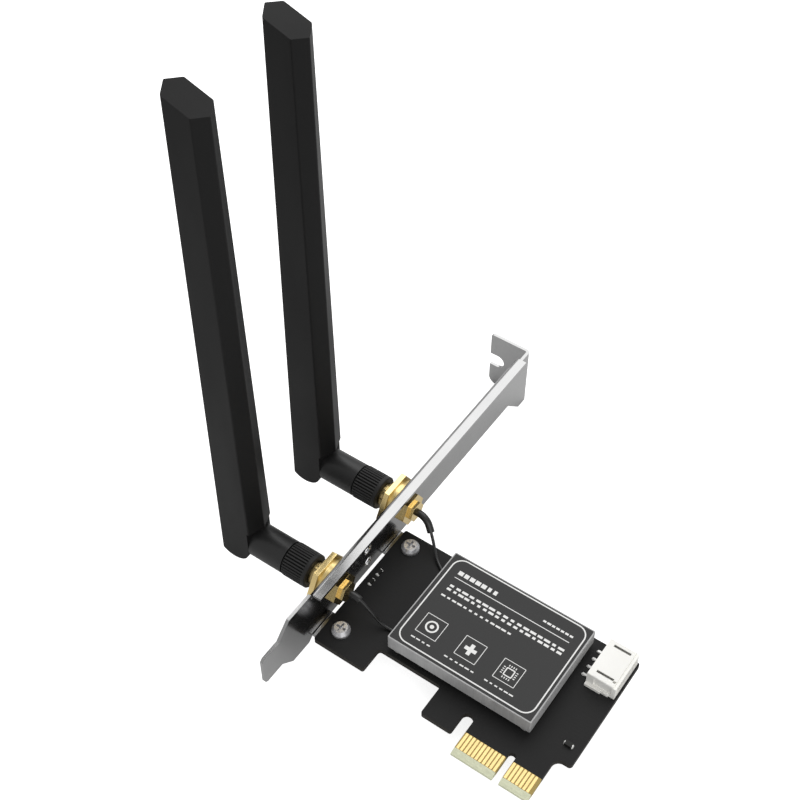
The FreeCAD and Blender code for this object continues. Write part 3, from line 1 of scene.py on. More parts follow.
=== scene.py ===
"""Looks of a wireless expansion card with two folding blade antennas.

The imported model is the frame. Each sub-assembly below dresses its own nodes: a node whose edges
show is stood for by a copy with rolled edges, small repeated forms are grown by node trees, and
every surface gets the finish of the real material. All places are in the card's own frame.
"""

import json
import logging
import math
from dataclasses import dataclass, fields, replace
from enum import Enum
from typing import Any, Sequence

import bmesh
import bpy
from bpy.types import Material, Node, NodeSocket, NodeTree, Object
from mathutils import Matrix, Vector

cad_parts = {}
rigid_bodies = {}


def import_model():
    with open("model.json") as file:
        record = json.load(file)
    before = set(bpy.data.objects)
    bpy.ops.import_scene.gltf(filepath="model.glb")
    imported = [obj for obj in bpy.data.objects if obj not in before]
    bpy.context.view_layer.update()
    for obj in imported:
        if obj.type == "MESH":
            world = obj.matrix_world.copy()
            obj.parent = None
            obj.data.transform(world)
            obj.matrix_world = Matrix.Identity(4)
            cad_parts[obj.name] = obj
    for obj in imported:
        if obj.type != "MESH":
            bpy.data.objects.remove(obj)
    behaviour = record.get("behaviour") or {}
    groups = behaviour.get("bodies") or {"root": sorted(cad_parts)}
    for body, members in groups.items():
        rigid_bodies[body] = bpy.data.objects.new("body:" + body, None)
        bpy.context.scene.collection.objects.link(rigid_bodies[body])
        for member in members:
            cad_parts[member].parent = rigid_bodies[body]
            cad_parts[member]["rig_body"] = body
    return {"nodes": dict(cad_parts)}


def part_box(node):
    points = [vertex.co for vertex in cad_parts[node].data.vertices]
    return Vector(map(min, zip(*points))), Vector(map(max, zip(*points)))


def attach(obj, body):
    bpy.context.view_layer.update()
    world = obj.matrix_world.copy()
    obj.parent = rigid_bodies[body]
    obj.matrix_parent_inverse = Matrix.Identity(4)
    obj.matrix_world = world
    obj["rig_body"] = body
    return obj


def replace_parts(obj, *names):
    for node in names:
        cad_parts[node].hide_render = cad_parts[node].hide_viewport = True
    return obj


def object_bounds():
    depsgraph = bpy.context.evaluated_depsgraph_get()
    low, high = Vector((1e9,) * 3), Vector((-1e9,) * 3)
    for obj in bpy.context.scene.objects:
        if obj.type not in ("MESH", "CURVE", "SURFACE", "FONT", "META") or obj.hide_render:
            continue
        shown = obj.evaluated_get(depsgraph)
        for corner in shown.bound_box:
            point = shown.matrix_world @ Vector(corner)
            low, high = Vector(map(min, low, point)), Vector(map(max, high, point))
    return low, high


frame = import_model()
CAD_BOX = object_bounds()
LOG = logging.getLogger("card")
MM = 0.001

Pair = tuple[float, float]
Point = tuple[float, float, float]
Quad = tuple[float, float, float, float]
Value = float | Node | NodeSocket

# noise seldom leaves this band, so a finish spreads the band over its whole change
NOISE_LOW, NOISE_HIGH = 0.3, 0.7


def linear(code: str) -> tuple[float, float, float, float]:
    """Turns an sRGB hex colour into the linear colour that a shader takes.

    Args:
        code: Six hex digits, with or without a leading hash.

    Returns:
        Red, green, blue and an alpha of one, linear.
    """
    values = [int(code.lstrip("#")[i:i + 2], 16) / 255 for i in (0, 2, 4)]
    lit = [v / 12.92 if v <= 0.04045 else ((v + 0.055) / 1.055) ** 2.4 for v in values]
    return (lit[0], lit[1], lit[2], 1.0)


def per_mm(size: float) -> float:
    """Texture scale on metre coordinates for a feature of this size in millimetres."""
    return 1 / (size * MM)


class Nodes:
    """A node tree in the making, which starts empty."""

    def __init__(self, tree: NodeTree) -> None:
        """Takes over a tree and clears it."""
        self.tree = tree
        tree.nodes.clear()

    def feed(self, node: Node, key: Any, value: Any) -> None:
        """Gives an input a value, or links it to a socket or to a node's first output.

        Args:
            node: The node.
            key: The input's name or number.
            value: A value, a socket or a node.
        """
        source = value.outputs[0] if isinstance(value, Node) else value
        if isinstance(source, NodeSocket):
            self.tree.links.new(source, node.inputs[key])
        else:
            node.inputs[key].default_value = source

    def add(
        self, kind: str, inputs: dict[Any, Any] | Sequence[Any] = (), **settings: Any
    ) -> Node:
        """Adds a node with its settings and its inputs.

        Args:
            kind: The node's type name.
            inputs: What feeds each input, by its name or number, or in their order.
            **settings: Properties of the node itself.

        Returns:
            The new node.
        """
        node = self.tree.nodes.new(kind)
        for name, value in settings.items():
            setattr(node, name, value)
        for key, value in inputs.items() if isinstance(inputs, dict) else enumerate(inputs):
            self.feed(node, key, value)
        return node


class Slot(Enum):
    """The record's material slots."""

    STEEL = "bracket_steel"
    BOARD = "board_black"
    CONTACT = "contact_gold"
    SCREW = "screw_nickel"
    WASHER = "washer_brass"
    JACK = "jack_gold"
    MODULE = "module_green"
    SHIELD = "shield_tin"
    PAD = "pad_grey"
    SOCKET = "socket_black"
    COVER = "cover_aluminium"
    LABEL = "label_film"
    HEADER = "header_white"
    PIN = "pin_tin"
    LAMP = "lamp_body"
    DIELECTRIC = "dielectric_white"
    CABLE = "cable_black"
    SLEEVE = "sleeve_black"
    ANTENNA = "antenna_black"


class Surface(Nodes):
    """A material in the making, with the place on the piece and the shader to be painted."""

    def __init__(self, tree: NodeTree, given: dict[str, Any]) -> None:
        """Starts a material whose shader has the given inputs.

        Args:
            tree: The material's tree.
            given: What feeds the shader's inputs.
        """
        super().__init__(tree)
        self.place = self.add("ShaderNodeTexCoord").outputs["Object"]
        self.shader = self.add("ShaderNodeBsdfPrincipled", given)
        self.add("ShaderNodeOutputMaterial", (self.shader,))

    def noise(self, size: float, stretch: Point = (1, 1, 1), detail: float = 3.0) -> Node:
        """Noise from 0 to 1 with features of a real size.

        Args:
            size: Feature size in millimetres.
            stretch: How much longer the features are along each axis.
            detail: Octaves of finer noise.

        Returns:
            The noise.
        """
        drawn = self.add("ShaderNodeMapping", {
            "Vector": self.place, "Scale": tuple(1 / s for s in stretch)})
        return self.add("ShaderNodeTexNoise", {
            "Vector": drawn, "Scale": per_mm(size), "Detail": detail})

    def mean(self, first: Value, second: Value) -> Node:
        """The mean of two values."""
        both = self.add("ShaderNodeMath", (first, second), operation="ADD")
        return self.add("ShaderNodeMath", (both, 0.5), operation="MULTIPLY")

    def aside(self, where: NodeSocket, middle: float) -> Node:
        """Distance of a coordinate from a middle in millimetres, for parts that stand in pairs."""
        off = self.add("ShaderNodeMath", (where, middle * MM), operation="SUBTRACT")
        return self.add("ShaderNodeMath", (off,), operation="ABSOLUTE")

    def toned(self, code: str, noise: Value, low: float, high: float) -> Node:
        """A colour whose brightness goes from low to high with a noise.

        Args:
            code: The colour's sRGB code.
            noise: The noise.
            low: Brightness at its low end.
            high: Brightness at its high end.

        Returns:
            The colour.
        """
        return self.add("ShaderNodeHueSaturation", {
            "Color": linear(code),
            "Value": self.add("ShaderNodeMapRange", (noise, NOISE_LOW, NOISE_HIGH, low, high))})

    def shade(self, brightness: Value) -> None:
        """Turns the shader's colour so far brighter or darker by a factor.

        Args:
            brightness: The factor.
        """
        plain = self.shader.inputs["Base Color"].links[0].from_socket
        self.feed(self.shader, "Base Color", self.add("ShaderNodeHueSaturation", {
            "Color": plain, "Value": brightness}))


@dataclass(frozen=True)
class Finish:
    """A surface made from one real material."""

    name: str
    colour: str  # its sRGB colour
    roughness: float
    metallic: float = 0.0  # one for a bare metal
    specular: float = 0.5  # specular level, half for a common dielectric
    grain: float = 0.6  # size of its grain in millimetres
    sheen: float = 0.05  # how far the roughness changes either way
    cloud: float = 0.05  # how far the brightness changes either way
    relief: float = 0.003  # depth of the grain in millimetres
    strength: float = 0.4  # how strongly the relief shows

    def material(self) -> Material:
        """The finish as a material, made once.

        Returns:
            The material.
        """
        made = bpy.data.materials.get(self.name)
        if made is not None:
            return made
        made = bpy.data.materials.new(self.name)
        made.use_nodes = True
        made.diffuse_color = linear(self.colour)
        self.paint(Surface(made.node_tree, {
            "Base Color": linear(self.colour), "Metallic": self.metallic,
            "Roughness": self.roughness, "Specular IOR Level": self.specular}))
        return made

    def paint(self, on: Surface) -> None:
        """One grain in the gloss, the brightness and the relief.

        Args:
            on: The material.
        """
        grain = on.noise(self.grain)
        self.gloss(on, grain)
        self.tint(on, grain)
        self.emboss(on, grain)

    def gloss(self, on: Surface, noise: Value) -> None:
        """Varies the roughness about its middle.

        Args:
            on: The material.
            noise: What it follows.
        """
        low, high = self.roughness - self.sheen, self.roughness + self.sheen
        on.feed(on.shader, "Roughness", on.add("ShaderNodeMapRange", (
            noise, NOISE_LOW, NOISE_HIGH, low, high)))

    def tint(self, on: Surface, noise: Value) -> None:
        """Varies the brightness of the colour."""
        on.feed(on.shader, "Base Color", on.toned(
            self.colour, noise, 1 - self.cloud, 1 + self.cloud))

    def emboss(self, on: Surface, height: Value) -> None:
        """Bumps the surface by a height from 0 to 1."""
        on.feed(on.shader, "Normal", on.add("ShaderNodeBump", {
            "Height": height, "Distance": self.relief * MM, "Strength": self.strength}))


@dataclass(frozen=True)
class RolledSheet(Finish):
    """Bright nickel-plated sheet steel: a blurred mirror with faint rolling lines along Y."""

    grain: float = 0.2
    sheen: float = 0.06
    cloud: float = 0.04
    relief: float = 0.004
    strength: float = 0.25

    def paint(self, on: Surface) -> None:
        """Rolling lines and cloudy plating.

        Args:
            on: The material.
        """
        lines = on.noise(self.grain, (1, 60, 1), 2.0)
        plating = on.noise(9.0)
        self.gloss(on, on.mean(lines, plating))
        self.tint(on, plating)
        self.emboss(on, lines)


@dataclass(frozen=True)
class SolderMask(Finish):
    """Matt solder mask over copper: faint straight traces, and dark laminate at the edges."""

    grain: float = 0.25
    relief: float = 0.012
    strength: float = 0.35
    edge: str = "#2a2723"  # colour of the laminate at the board's edges
    bare: str = "#b09a5c"  # colour of the laminate between the fingers
    strip: str = "#dde0c2"  # colour of the bare strip under the fingers
    bare_to: float = 0.0  # Y up to which the connector has no mask, in millimetres, or nought
    strip_to: float = 0.0  # Y up to which the strip reaches
    bare_from: float = 0.0  # X from which the connector has no mask

    def paint(self, on: Surface) -> None:
        """Trace relief, mask grain, glass plies at the edge and bare laminate by the fingers.

        Args:
            on: The material.
        """
        traces = on.add("ShaderNodeTexBrick", {
            "Vector": on.place, "Color1": (0, 0, 0, 1), "Color2": (0, 0, 0, 1),
            "Mortar": (1, 1, 1, 1), "Scale": per_mm(1.0), "Mortar Size": 0.1,
            "Mortar Smooth": 0.4, "Brick Width": 7.3, "Row Height": 0.9}, offset=0.37)
        grain = on.noise(self.grain)
        # traces run only in some fields of the board
        routed = on.add("ShaderNodeMapRange", (on.noise(6.0, detail=1.0), 0.5, 0.54, 0.0, 1.0))
        traced = on.add("ShaderNodeMath", (traces.outputs["Fac"], routed), operation="MULTIPLY")
        self.emboss(on, on.add("ShaderNodeMath", (traced, grain), operation="ADD"))
        self.gloss(on, grain)
        normal = on.add("ShaderNodeNewGeometry").outputs["True Normal"]
        upright = on.add("ShaderNodeSeparateXYZ", (normal,)).outputs["Z"]
        flat = on.add("ShaderNodeMath", (upright,), operation="ABSOLUTE")
        face = on.add("ShaderNodeMapRange", (flat, 0.6, 0.8, 0.0, 1.0))
        ply = on.noise(0.12, (12, 12, 1), 1.0)
        laminate = on.toned(self.edge, ply, 0.6, 1.5)
        mask = on.add("ShaderNodeHueSaturation", {
            "Color": linear(self.colour),
            "Value": on.add("ShaderNodeMapRange", (traced, 0.0, 1.0, 1.0, 1.08))})
        mixed = on.add("ShaderNodeMix", {0: face, 6: laminate, 7: mask}, data_type="RGBA")
        colour = mixed.outputs[2]
        if self.bare_to:
            colour = self.bare_laminate(on, colour, ply)
        on.feed(on.shader, "Base Color", colour)

    def bare_laminate(self, on: Surface, colour: NodeSocket, ply: Node) -> NodeSocket:
        """Clears the mask from the connector: bare between the fingers, paler under them.

        Args:
            on: The material.
            colour: The masked board's colour.
            ply: The glass weave's noise.

        Returns:
            The colour with the laminate showing.
        """
        where = on.add("ShaderNodeSeparateXYZ", (on.place,)).outputs
        beside = on.add("ShaderNodeMath", (
            where["X"], self.bare_from * MM), operation="GREATER_THAN")
        for top, code in ((self.bare_to, self.bare), (self.strip_to, self.strip)):
            under = on.add("ShaderNodeMath", (where["Y"], top * MM), operation="LESS_THAN")
            share = on.add("ShaderNodeMath", (under, beside), operation="MULTIPLY")
            woven = on.toned(code, ply, 0.92, 1.06)
            mixed = on.add("ShaderNodeMix", {0: share, 6: colour, 7: woven}, data_type="RGBA")
            colour = mixed.outputs[2]
        return colour


@dataclass(frozen=True)
class GoldPlate(Finish):
    """Gold-plated brass: a satin metal with tool marks round the jack axes."""

    grain: float = 0.25
    sheen: float = 0.04
    relief: float = 0.002
    strength: float = 0.06
    thread_from: float = 0.0  # X beyond which the surface is bare thread, in millimetres, or nought
    worn: float = 0.4  # brightness of the painted shade on the bare thread, whose flanks lie in each other's shade

    def paint(self, on: Surface) -> None:
        """Fine marks across X, where the bar was turned, a warm cloud and painted shade on the bare
        thread.

        Args:
            on: The material.
        """
        marks = on.noise(self.grain, (1, 25, 25), 2.0)
        self.gloss(on, marks)
        self.tint(on, on.noise(2.5))
        if self.thread_from:
            # painted shade on the bare thread
            where = on.add("ShaderNodeSeparateXYZ", (on.place,)).outputs["X"]
            past = on.add("ShaderNodeMath", (
                where, self.thread_from * MM), operation="LESS_THAN")
            on.shade(on.add("ShaderNodeMapRange", (past, 0.0, 1.0, 1.0, self.worn)))
        self.emboss(on, marks)


@dataclass(frozen=True)
class NickelScrew(Finish):
    """Nickel-plated or tinned metal: bright, slightly pitted by the forming die."""

    cloud: float = 0.06
    strength: float = 0.15


@dataclass(frozen=True)
class MilledAluminium(Finish):
    """Matt natural aluminium, milled round its walls: short upright lines."""

    grain: float = 0.18
    sheen: float = 0.08
    cloud: float = 0.16
    relief: float = 0.006
    strength: float = 0.35

    def paint(self, on: Surface) -> None:
        """Cutter lines up the walls, and a cloudy etch.

        Args:
            on: The material.
        """
        lines = on.noise(self.grain, (1, 1, 40), 2.0)
        self.gloss(on, lines)
        self.tint(on, on.mean(lines, on.noise(4.0)))
        self.emboss(on, lines)


@dataclass(frozen=True)
class MouldedPlastic(Finish):
    """Injection-moulded plastic with the grain of its mould, coarser than real so that it shows."""

    grain: float = 0.3
    relief: float = 0.01

    def paint(self, on: Surface) -> None:
        """Mould grain, and slow changes where the melt flowed.

        Args:
            on: The material.
        """
        flow = on.noise(14.0, (1, 1, 2.5))
        self.gloss(on, flow)
        self.tint(on, flow)
        self.emboss(on, on.noise(self.grain))


@dataclass(frozen=True)
class GripPlastic(MouldedPlastic):
    """Moulded plastic of the two coupling nuts: painted shade in the grip's grooves, painted
    highlights on its ribs.
    """

    middle: float = 32.885  # Y half way between the two antenna axes, in millimetres
    apart: float = 14.845  # half the distance between the axes
    height: float = 8.4  # Z of the axes
    start: float = -65.95  # X where the grooves start
    end: float = -72.05  # X where they end
    grooves: int = 36  # grooves round the nut, the first one level with the axis

    def paint(self, on: Surface) -> None:
        """Mould grain, and painted shade towards each groove round either axis, with painted
        highlights between.

        Args:
            on: The material.
        """
        super().paint(on)
        where = on.add("ShaderNodeSeparateXYZ", (on.place,)).outputs
        across = on.add("ShaderNodeMath", (
            on.aside(where["Y"], self.middle), self.apart * MM), operation="SUBTRACT")
        up = on.add("ShaderNodeMath", (where["Z"], self.height * MM), operation="SUBTRACT")
        turn = on.add("ShaderNodeMath", (up, across), operation="ARCTAN2")
        turns = on.add("ShaderNodeMath", (turn, float(self.grooves)), operation="MULTIPLY")
        wave = on.add("ShaderNodeMath", (turns,), operation="COSINE")
        past = on.add("ShaderNodeMath", (where["X"], self.start * MM), operation="LESS_THAN")
        short = on.add("ShaderNodeMath", (where["X"], self.end * MM), operation="GREATER_THAN")
        inside = on.add("ShaderNodeMath", (past, short), operation="MULTIPLY")
        # painted shading: painted shade down in each groove, painted highlight on each rib
        painted_shading = on.add("ShaderNodeMapRange", (wave, -0.4, 0.7, 1.5, 0.12))
        on.feed(on.shader, "Base Color", on.add("ShaderNodeHueSaturation", {
            "Color": linear(self.colour),
            "Value": on.add("ShaderNodeMix", {0: inside, 2: 1.0, 3: painted_shading})}))


@dataclass(frozen=True)
class Nylon(MouldedPlastic):
    """White nylon moulding, which lets some light through its thin walls."""

    middle: float = 39.7  # Y half way between the two slots in the header's top, in millimetres
    apart: float = 4.2  # half the distance between the slots
    reach: float = 0.4  # half the width of a slot
    start: float = 5.8  # X where the slots start
    end: float = 10.52  # X where they end
    deep: float = 5.3  # Z from which the slots are dark
    rim: float = 5.5  # Z where they turn pale, just under the header's top
    dark: float = 0.32  # brightness of the painted shade down in the slots
    # how far red, green and blue light goes into the wall, in millimetres
    glow: Point = (0.4, 0.4, 0.35)

    def paint(self, on: Surface) -> None:
        """Mould grain over a slightly translucent body, and painted shade down in its slots.

        Args:
            on: The material.
        """
        super().paint(on)
        where = on.add("ShaderNodeSeparateXYZ", (on.place,)).outputs
        across = on.add("ShaderNodeMath", (
            on.aside(where["Y"], self.middle), self.apart * MM, self.reach * MM),
            operation="COMPARE")
        along = on.add("ShaderNodeMath", (
            where["X"], (self.start + self.end) / 2 * MM, (self.end - self.start) / 2 * MM),
            operation="COMPARE")
        slot = on.add("ShaderNodeMath", (across, along), operation="MULTIPLY")
        # painted shade in the slots, darkest low down and plain just under the header's top
        painted_shading = on.add("ShaderNodeMapRange", (
            where["Z"], self.deep * MM, self.rim * MM, self.dark, 1.0))
        on.shade(on.add("ShaderNodeMix", {0: slot, 2: 1.0, 3: painted_shading}))
        on.feed(on.shader, "Subsurface Weight", 0.05)
        on.feed(on.shader, "Subsurface Radius", Vector(self.glow) * MM)
        on.feed(on.shader, "Subsurface Scale", 1.0)


@dataclass(frozen=True)
class PrintedFilm(Finish):
    """Matt polyester label film with an even, finely speckled ground."""

    grain: float = 0.25
    sheen: float = 0.04
    strength: float = 0.3


@dataclass(frozen=True)
class CableSkin(Finish):
    """Extruded, shrunk or cast skin: smooth, with slow waves along it."""

    grain: float = 1.2
    sheen: float = 0.08
    cloud: float = 0.08
    relief: float = 0.03


FINISHES: dict[Slot, Finish] = {
    Slot.STEEL: RolledSheet("nickel_plated_sheet_steel", "#a0a0a0", 0.2, metallic=1.0),
    Slot.BOARD: SolderMask("black_solder_mask", "#202020", 0.55, specular=0.15, bare_to=6.4,
                           strip_to=1.75, bare_from=-12.4),
    Slot.CONTACT: GoldPlate("hard_gold_contact", "#c9b07a", 0.36, metallic=1.0),
    Slot.SCREW: NickelScrew("nickel_plated_screw", "#bcbcbe", 0.27, metallic=0.5),
    Slot.WASHER: GoldPlate("gold_plated_washer", "#d8c288", 0.3, metallic=1.0),
    Slot.JACK: GoldPlate("gold_plated_brass", "#e8cf92", 0.2, metallic=1.0, thread_from=-62.05),
    Slot.MODULE: SolderMask("green_solder_mask", "#1d5137", 0.45, edge="#6d6a45"),
    Slot.SHIELD: NickelScrew("tinned_shield_can", "#c9c9c6", 0.35, metallic=1.0),
    Slot.PAD: CableSkin("grey_silicone_pad", "#8d9197", 0.7, grain=0.6),
    Slot.SOCKET: MouldedPlastic("black_liquid_crystal_polymer", "#1e1e1f", 0.5),
    Slot.COVER: MilledAluminium("milled_aluminium", "#adadad", 0.5, metallic=0.15),
    Slot.LABEL: PrintedFilm("printed_polyester_film", "#404040", 0.6, specular=0.15),
    Slot.HEADER: Nylon("white_nylon", "#fefdf8", 0.42),
    Slot.PIN: NickelScrew("matt_tin_plate", "#f4f4f2", 0.36, metallic=0.25),
    Slot.LAMP: MouldedPlastic("black_epoxy", "#1d1d1c", 0.5, specular=0.2, grain=0.2, relief=0.004),
    Slot.DIELECTRIC: MouldedPlastic("white_fluoropolymer", "#f2f1ec", 0.4, grain=0.4),
    Slot.CABLE: CableSkin("black_fluoropolymer_jacket", "#181818", 0.32),
    Slot.SLEEVE: CableSkin("black_heat_shrink", "#111111", 0.3, grain=0.8),
    Slot.ANTENNA: MouldedPlastic("black_abs", "#151515", 0.5, specular=0.14),
}
GRIP = GripPlastic("black_abs_grip", "#282828", 0.46, specular=0.25)
# the antennas' black ABS, painted lighter on the barrels for the light that falls on their upper
# side
BARREL = MouldedPlastic("black_abs_barrel", "#222222", 0.4, specular=0.4)
SOLDER = NickelScrew("solder_fillet", "#f4f4f1", 0.45, metallic=0.15)
INK = PrintedFilm("white_screen_ink", "#f4f4f2", 0.5)


def body_of(node: str) -> str:
    """The CAD body that a node rides on."""
    return frame["nodes"][node]["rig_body"]


def new_object(name: str, shape: bmesh.types.BMesh | None = None) -> Object:
    """Puts a mesh in the scene as an object at the origin.

    Args:
        name: The name of object and mesh.
        shape: The mesh's shape, which ends here, or none for an empty mesh.

    Returns:
        The object.
    """
    mesh = bpy.data.meshes.new(name)
    if shape is not None:
        shape.to_mesh(mesh)
        shape.free()
    obj = bpy.data.objects.new(name, mesh)
    bpy.context.scene.collection.objects.link(obj)
    return obj


def finish_piece(obj: Object, body: str, finish: Finish) -> Object:
    """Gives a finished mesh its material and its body.

    Args:
        obj: The object, at the origin, with its place in its mesh.
        body: The CAD body that it rides on.
        finish: Its surface.

    Returns:
        The same object.
    """
    obj.data.materials.clear()
    obj.data.materials.append(finish.material())
    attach(obj, body)
    LOG.info("%s: %d faces", obj.name, len(obj.data.polygons))
    return obj


def applied(obj: Object) -> Object:
    """Turns an object's modifiers into plain mesh and removes them.

    Args:
        obj: The object.

    Returns:
        The same object.
    """
    bpy.context.view_layer.update()
    seen = obj.evaluated_get(bpy.context.evaluated_depsgraph_get())
    mesh = bpy.data.meshes.new_from_object(seen)
    mesh.name = obj.name
    obj.modifiers.clear()
    obj.data = mesh
    return obj


@dataclass
class RolledEdges:
    """A copy of a CAD node whose sharp edges are rolled, as every made edge is."""

    node: str
    slot: Slot  # the record's slot and so the finish
    edge: float  # width of the rolled edge in millimetres
    angle: float = 32.0  # edges sharper than this many degrees are rolled
    segments: int = 2  # facets across the rolled edge
    finish: Finish | None = None  # a finish of its own, where it differs from the slot's
    merge: bool = True  # whether the flat faces are first made whole
    flat: float = 0.4  # faces within this many degrees count as one flat face
    weld: float = 0.002  # corners closer than this are one, in millimetres

    def build(self) -> Object:
        """Makes the piece and has it replace its node.

        Returns:
            The piece.
        """
        shape = bmesh.new()
        shape.from_mesh(frame["nodes"][self.node].data)
        bmesh.ops.remove_doubles(shape, verts=shape.verts, dist=self.weld * MM)
        if self.merge:
            bmesh.ops.dissolve_limit(
                shape, angle_limit=math.radians(self.flat), verts=shape.verts, edges=shape.edges)
        for face in shape.faces:
            face.smooth = True
        obj = new_object(f"{self.node}_skin", shape)
        roll = obj.modifiers.new("rolled_edges", "BEVEL")
        roll.width = self.edge * MM
        roll.segments = self.segments
        roll.limit_method = "ANGLE"
        roll.angle_limit = math.radians(self.angle)
        roll.use_clamp_overlap = True
        roll.miter_outer = "MITER_ARC"
        even = obj.modifiers.new("even_shading", "WEIGHTED_NORMAL")
        even.keep_sharp = False
        finish_piece(applied(obj), body_of(self.node),
                     self.finish or FINISHES[self.slot])
        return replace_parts(obj, self.node)


class Growth(Nodes):
    """A geometry node tree with named inputs, which ends as a plain mesh."""

    def __init__(self, name: str, finish: Finish, sizes: dict[str, Any]) -> None:
        """Starts a tree.

        Args:
            name: The object's name.
            finish: Its surface, which is an input as well.
            sizes: The other inputs and the value that each gets.
        """
        super().__init__(bpy.data.node_groups.new(f"{name}_tree", "GeometryNodeTree"))
        self.name = name
        self.values: dict[str, Any] = {}
        kinds = {int: "NodeSocketInt", float: "NodeSocketFloat", tuple: "NodeSocketVector"}
        for label, value in {**sizes, "Finish": finish.material()}.items():
            kind = kinds.get(type(value), "NodeSocketMaterial")
            socket = self.tree.interface.new_socket(label, in_out="INPUT", socket_type=kind)
            self.values[socket.identifier] = value
        self.tree.interface.new_socket(
            "Geometry", in_out="OUTPUT", socket_type="NodeSocketGeometry")
        self.inputs = self.add("NodeGroupInput").outputs

    def grow(self, shape: Node) -> Object:
        """Ends the tree, runs it and keeps the result as a plain mesh.

        Args:
            shape: The geometry, which may hold instances.

        Returns:
            The object, with no modifier left on it.
        """
        real = self.add("GeometryNodeRealizeInstances", (shape,))
        dressed = self.add("GeometryNodeSetMaterial", {
            "Geometry": real, "Material": self.inputs["Finish"]})
        self.add("NodeGroupOutput", (dressed,))
        obj = new_object(self.name)
        modifier = obj.modifiers.new("growth", "NODES")
        modifier.node_group = self.tree
        for identifier, value in self.values.items():
            modifier[identifier] = value
        return applied(obj)


class Form:
    """Small repeated forms that a node tree grows as one mesh. Its sizes are in metres."""

    def sizes(self) -> dict[str, Any]:
        """The named inputs of its tree."""
        return {size.name.capitalize(): getattr(self, size.name) for size in fields(self)}

    def shape(self, tree: Growth) -> Node:
        """Adds the form's nodes to its tree and gives the last of them."""
        raise NotImplementedError

    def piece(
        self, name: str, slot: Slot, finish: Finish | None = None, body: str = "card"
    ) -> Object:
        """Grows the form as a finished piece.

        Args:
            name: The piece's name.
            slot: The record's slot for it.
            finish: Its surface, where it differs from the slot's.
            body: The CAD body that it rides on.

        Returns:
            The piece.
        """
        finish = finish or FINISHES[slot]
        tree = Growth(name, finish, self.sizes())
        return finish_piece(tree.grow(self.shape(tree)), body, finish)


@dataclass
class RibRing(Form):
    """Rounded ribs that stand round an axis along X, as on a grip."""

    centre: Point  # a point on the axis, at the ribs' middle
    radius: float  # radius at the ribs' feet
    length: float  # length of a rib along X
    width: float
    rise: float
    count: int

    def shape(self, tree: Growth) -> Node:
        """The ring of ribs.

        Args:
            tree: The form's tree.

        Returns:
            The last node.
        """
        given = tree.inputs
        circle = tree.add("GeometryNodeMeshCircle", {
            "Vertices": given["Count"], "Radius": given["Radius"]})
        # half a step round, since the grooves start level with the axis
        step = tree.add("ShaderNodeMath", (math.pi, given["Count"]), operation="DIVIDE")
        ring = tree.add("GeometryNodeTransform", {
            "Geometry": circle, "Rotation": tree.add("ShaderNodeCombineXYZ", (0.0, 0.0, step))})
        spot = tree.add("GeometryNodeInputPosition")
        turned = tree.add("FunctionNodeAlignRotationToVector", {"Vector": spot}, axis="X")
        # a rib is a capsule-shaped bar: the halves of a ball, drawn apart along it
        ball = tree.add("GeometryNodeSetShadeSmooth", (
            tree.add("GeometryNodeMeshUVSphere", {"Segments": 8, "Rings": 8, "Radius": 1.0}),))
        height = tree.add("ShaderNodeSeparateXYZ", (spot,)).outputs["Z"]
        end = tree.add("ShaderNodeMath", (height,), operation="SIGN")
        half = tree.add("ShaderNodeMath", (given["Width"], 0.5), operation="MULTIPLY")
        reach = tree.add("ShaderNodeMath", (given["Length"], 0.5), operation="MULTIPLY")
        straight = tree.add("ShaderNodeMath", (reach, half), operation="SUBTRACT")
        apart = tree.add("ShaderNodeMath", (end, straight), operation="MULTIPLY")
        drawn = tree.add("GeometryNodeSetPosition", {
            "Geometry": ball,
            "Position": tree.add("ShaderNodeVectorMath", (
                spot, tree.add("ShaderNodeCombineXYZ", (given["Rise"], half, half)),
                tree.add("ShaderNodeCombineXYZ", (0.0, 0.0, apart))), operation="MULTIPLY_ADD")})
        ribs = tree.add("GeometryNodeInstanceOnPoints", {
            "Points": ring, "Instance": drawn, "Rotation": turned})
        return tree.add("GeometryNodeTransform", {
            "Geometry": ribs, "Translation": given["Centre"],
            "Rotation": (0.0, math.pi / 2, 0.0)})


@dataclass
class ThreadRidge(Form):
    """The crest of a screw thread round an axis along X."""

    start: Point  # the point on the axis where the thread starts
    radius: float  # radius of the crest's root
    pitch: float
    length: float  # threaded length, towards -X
    crest: float  # half width of the crest

    def shape(self, tree: Growth) -> Node:
        """The ridge.

        Args:
            tree: The form's tree.

        Returns:
            The last node.
        """
        given = tree.inputs
        turns = tree.add("ShaderNodeMath", (given["Length"], given["Pitch"]), operation="DIVIDE")
        helix = tree.add("GeometryNodeCurveSpiral", {
            "Resolution": 32, "Rotations": turns, "Start Radius": given["Radius"],
            "End Radius": given["Radius"], "Height": given["Length"]})
        section = tree.add("GeometryNodeCurvePrimitiveCircle", {
            "Resolution": 4, "Radius": given["Crest"]})
        ridge = tree.add("GeometryNodeCurveToMesh", {
            "Curve": helix, "Profile Curve": section, "Fill Caps": True})
        return tree.add("GeometryNodeTransform", {
            "Geometry": ridge, "Translation": given["Start"],
            "Rotation": (0.0, -math.pi / 2, 0.0)})


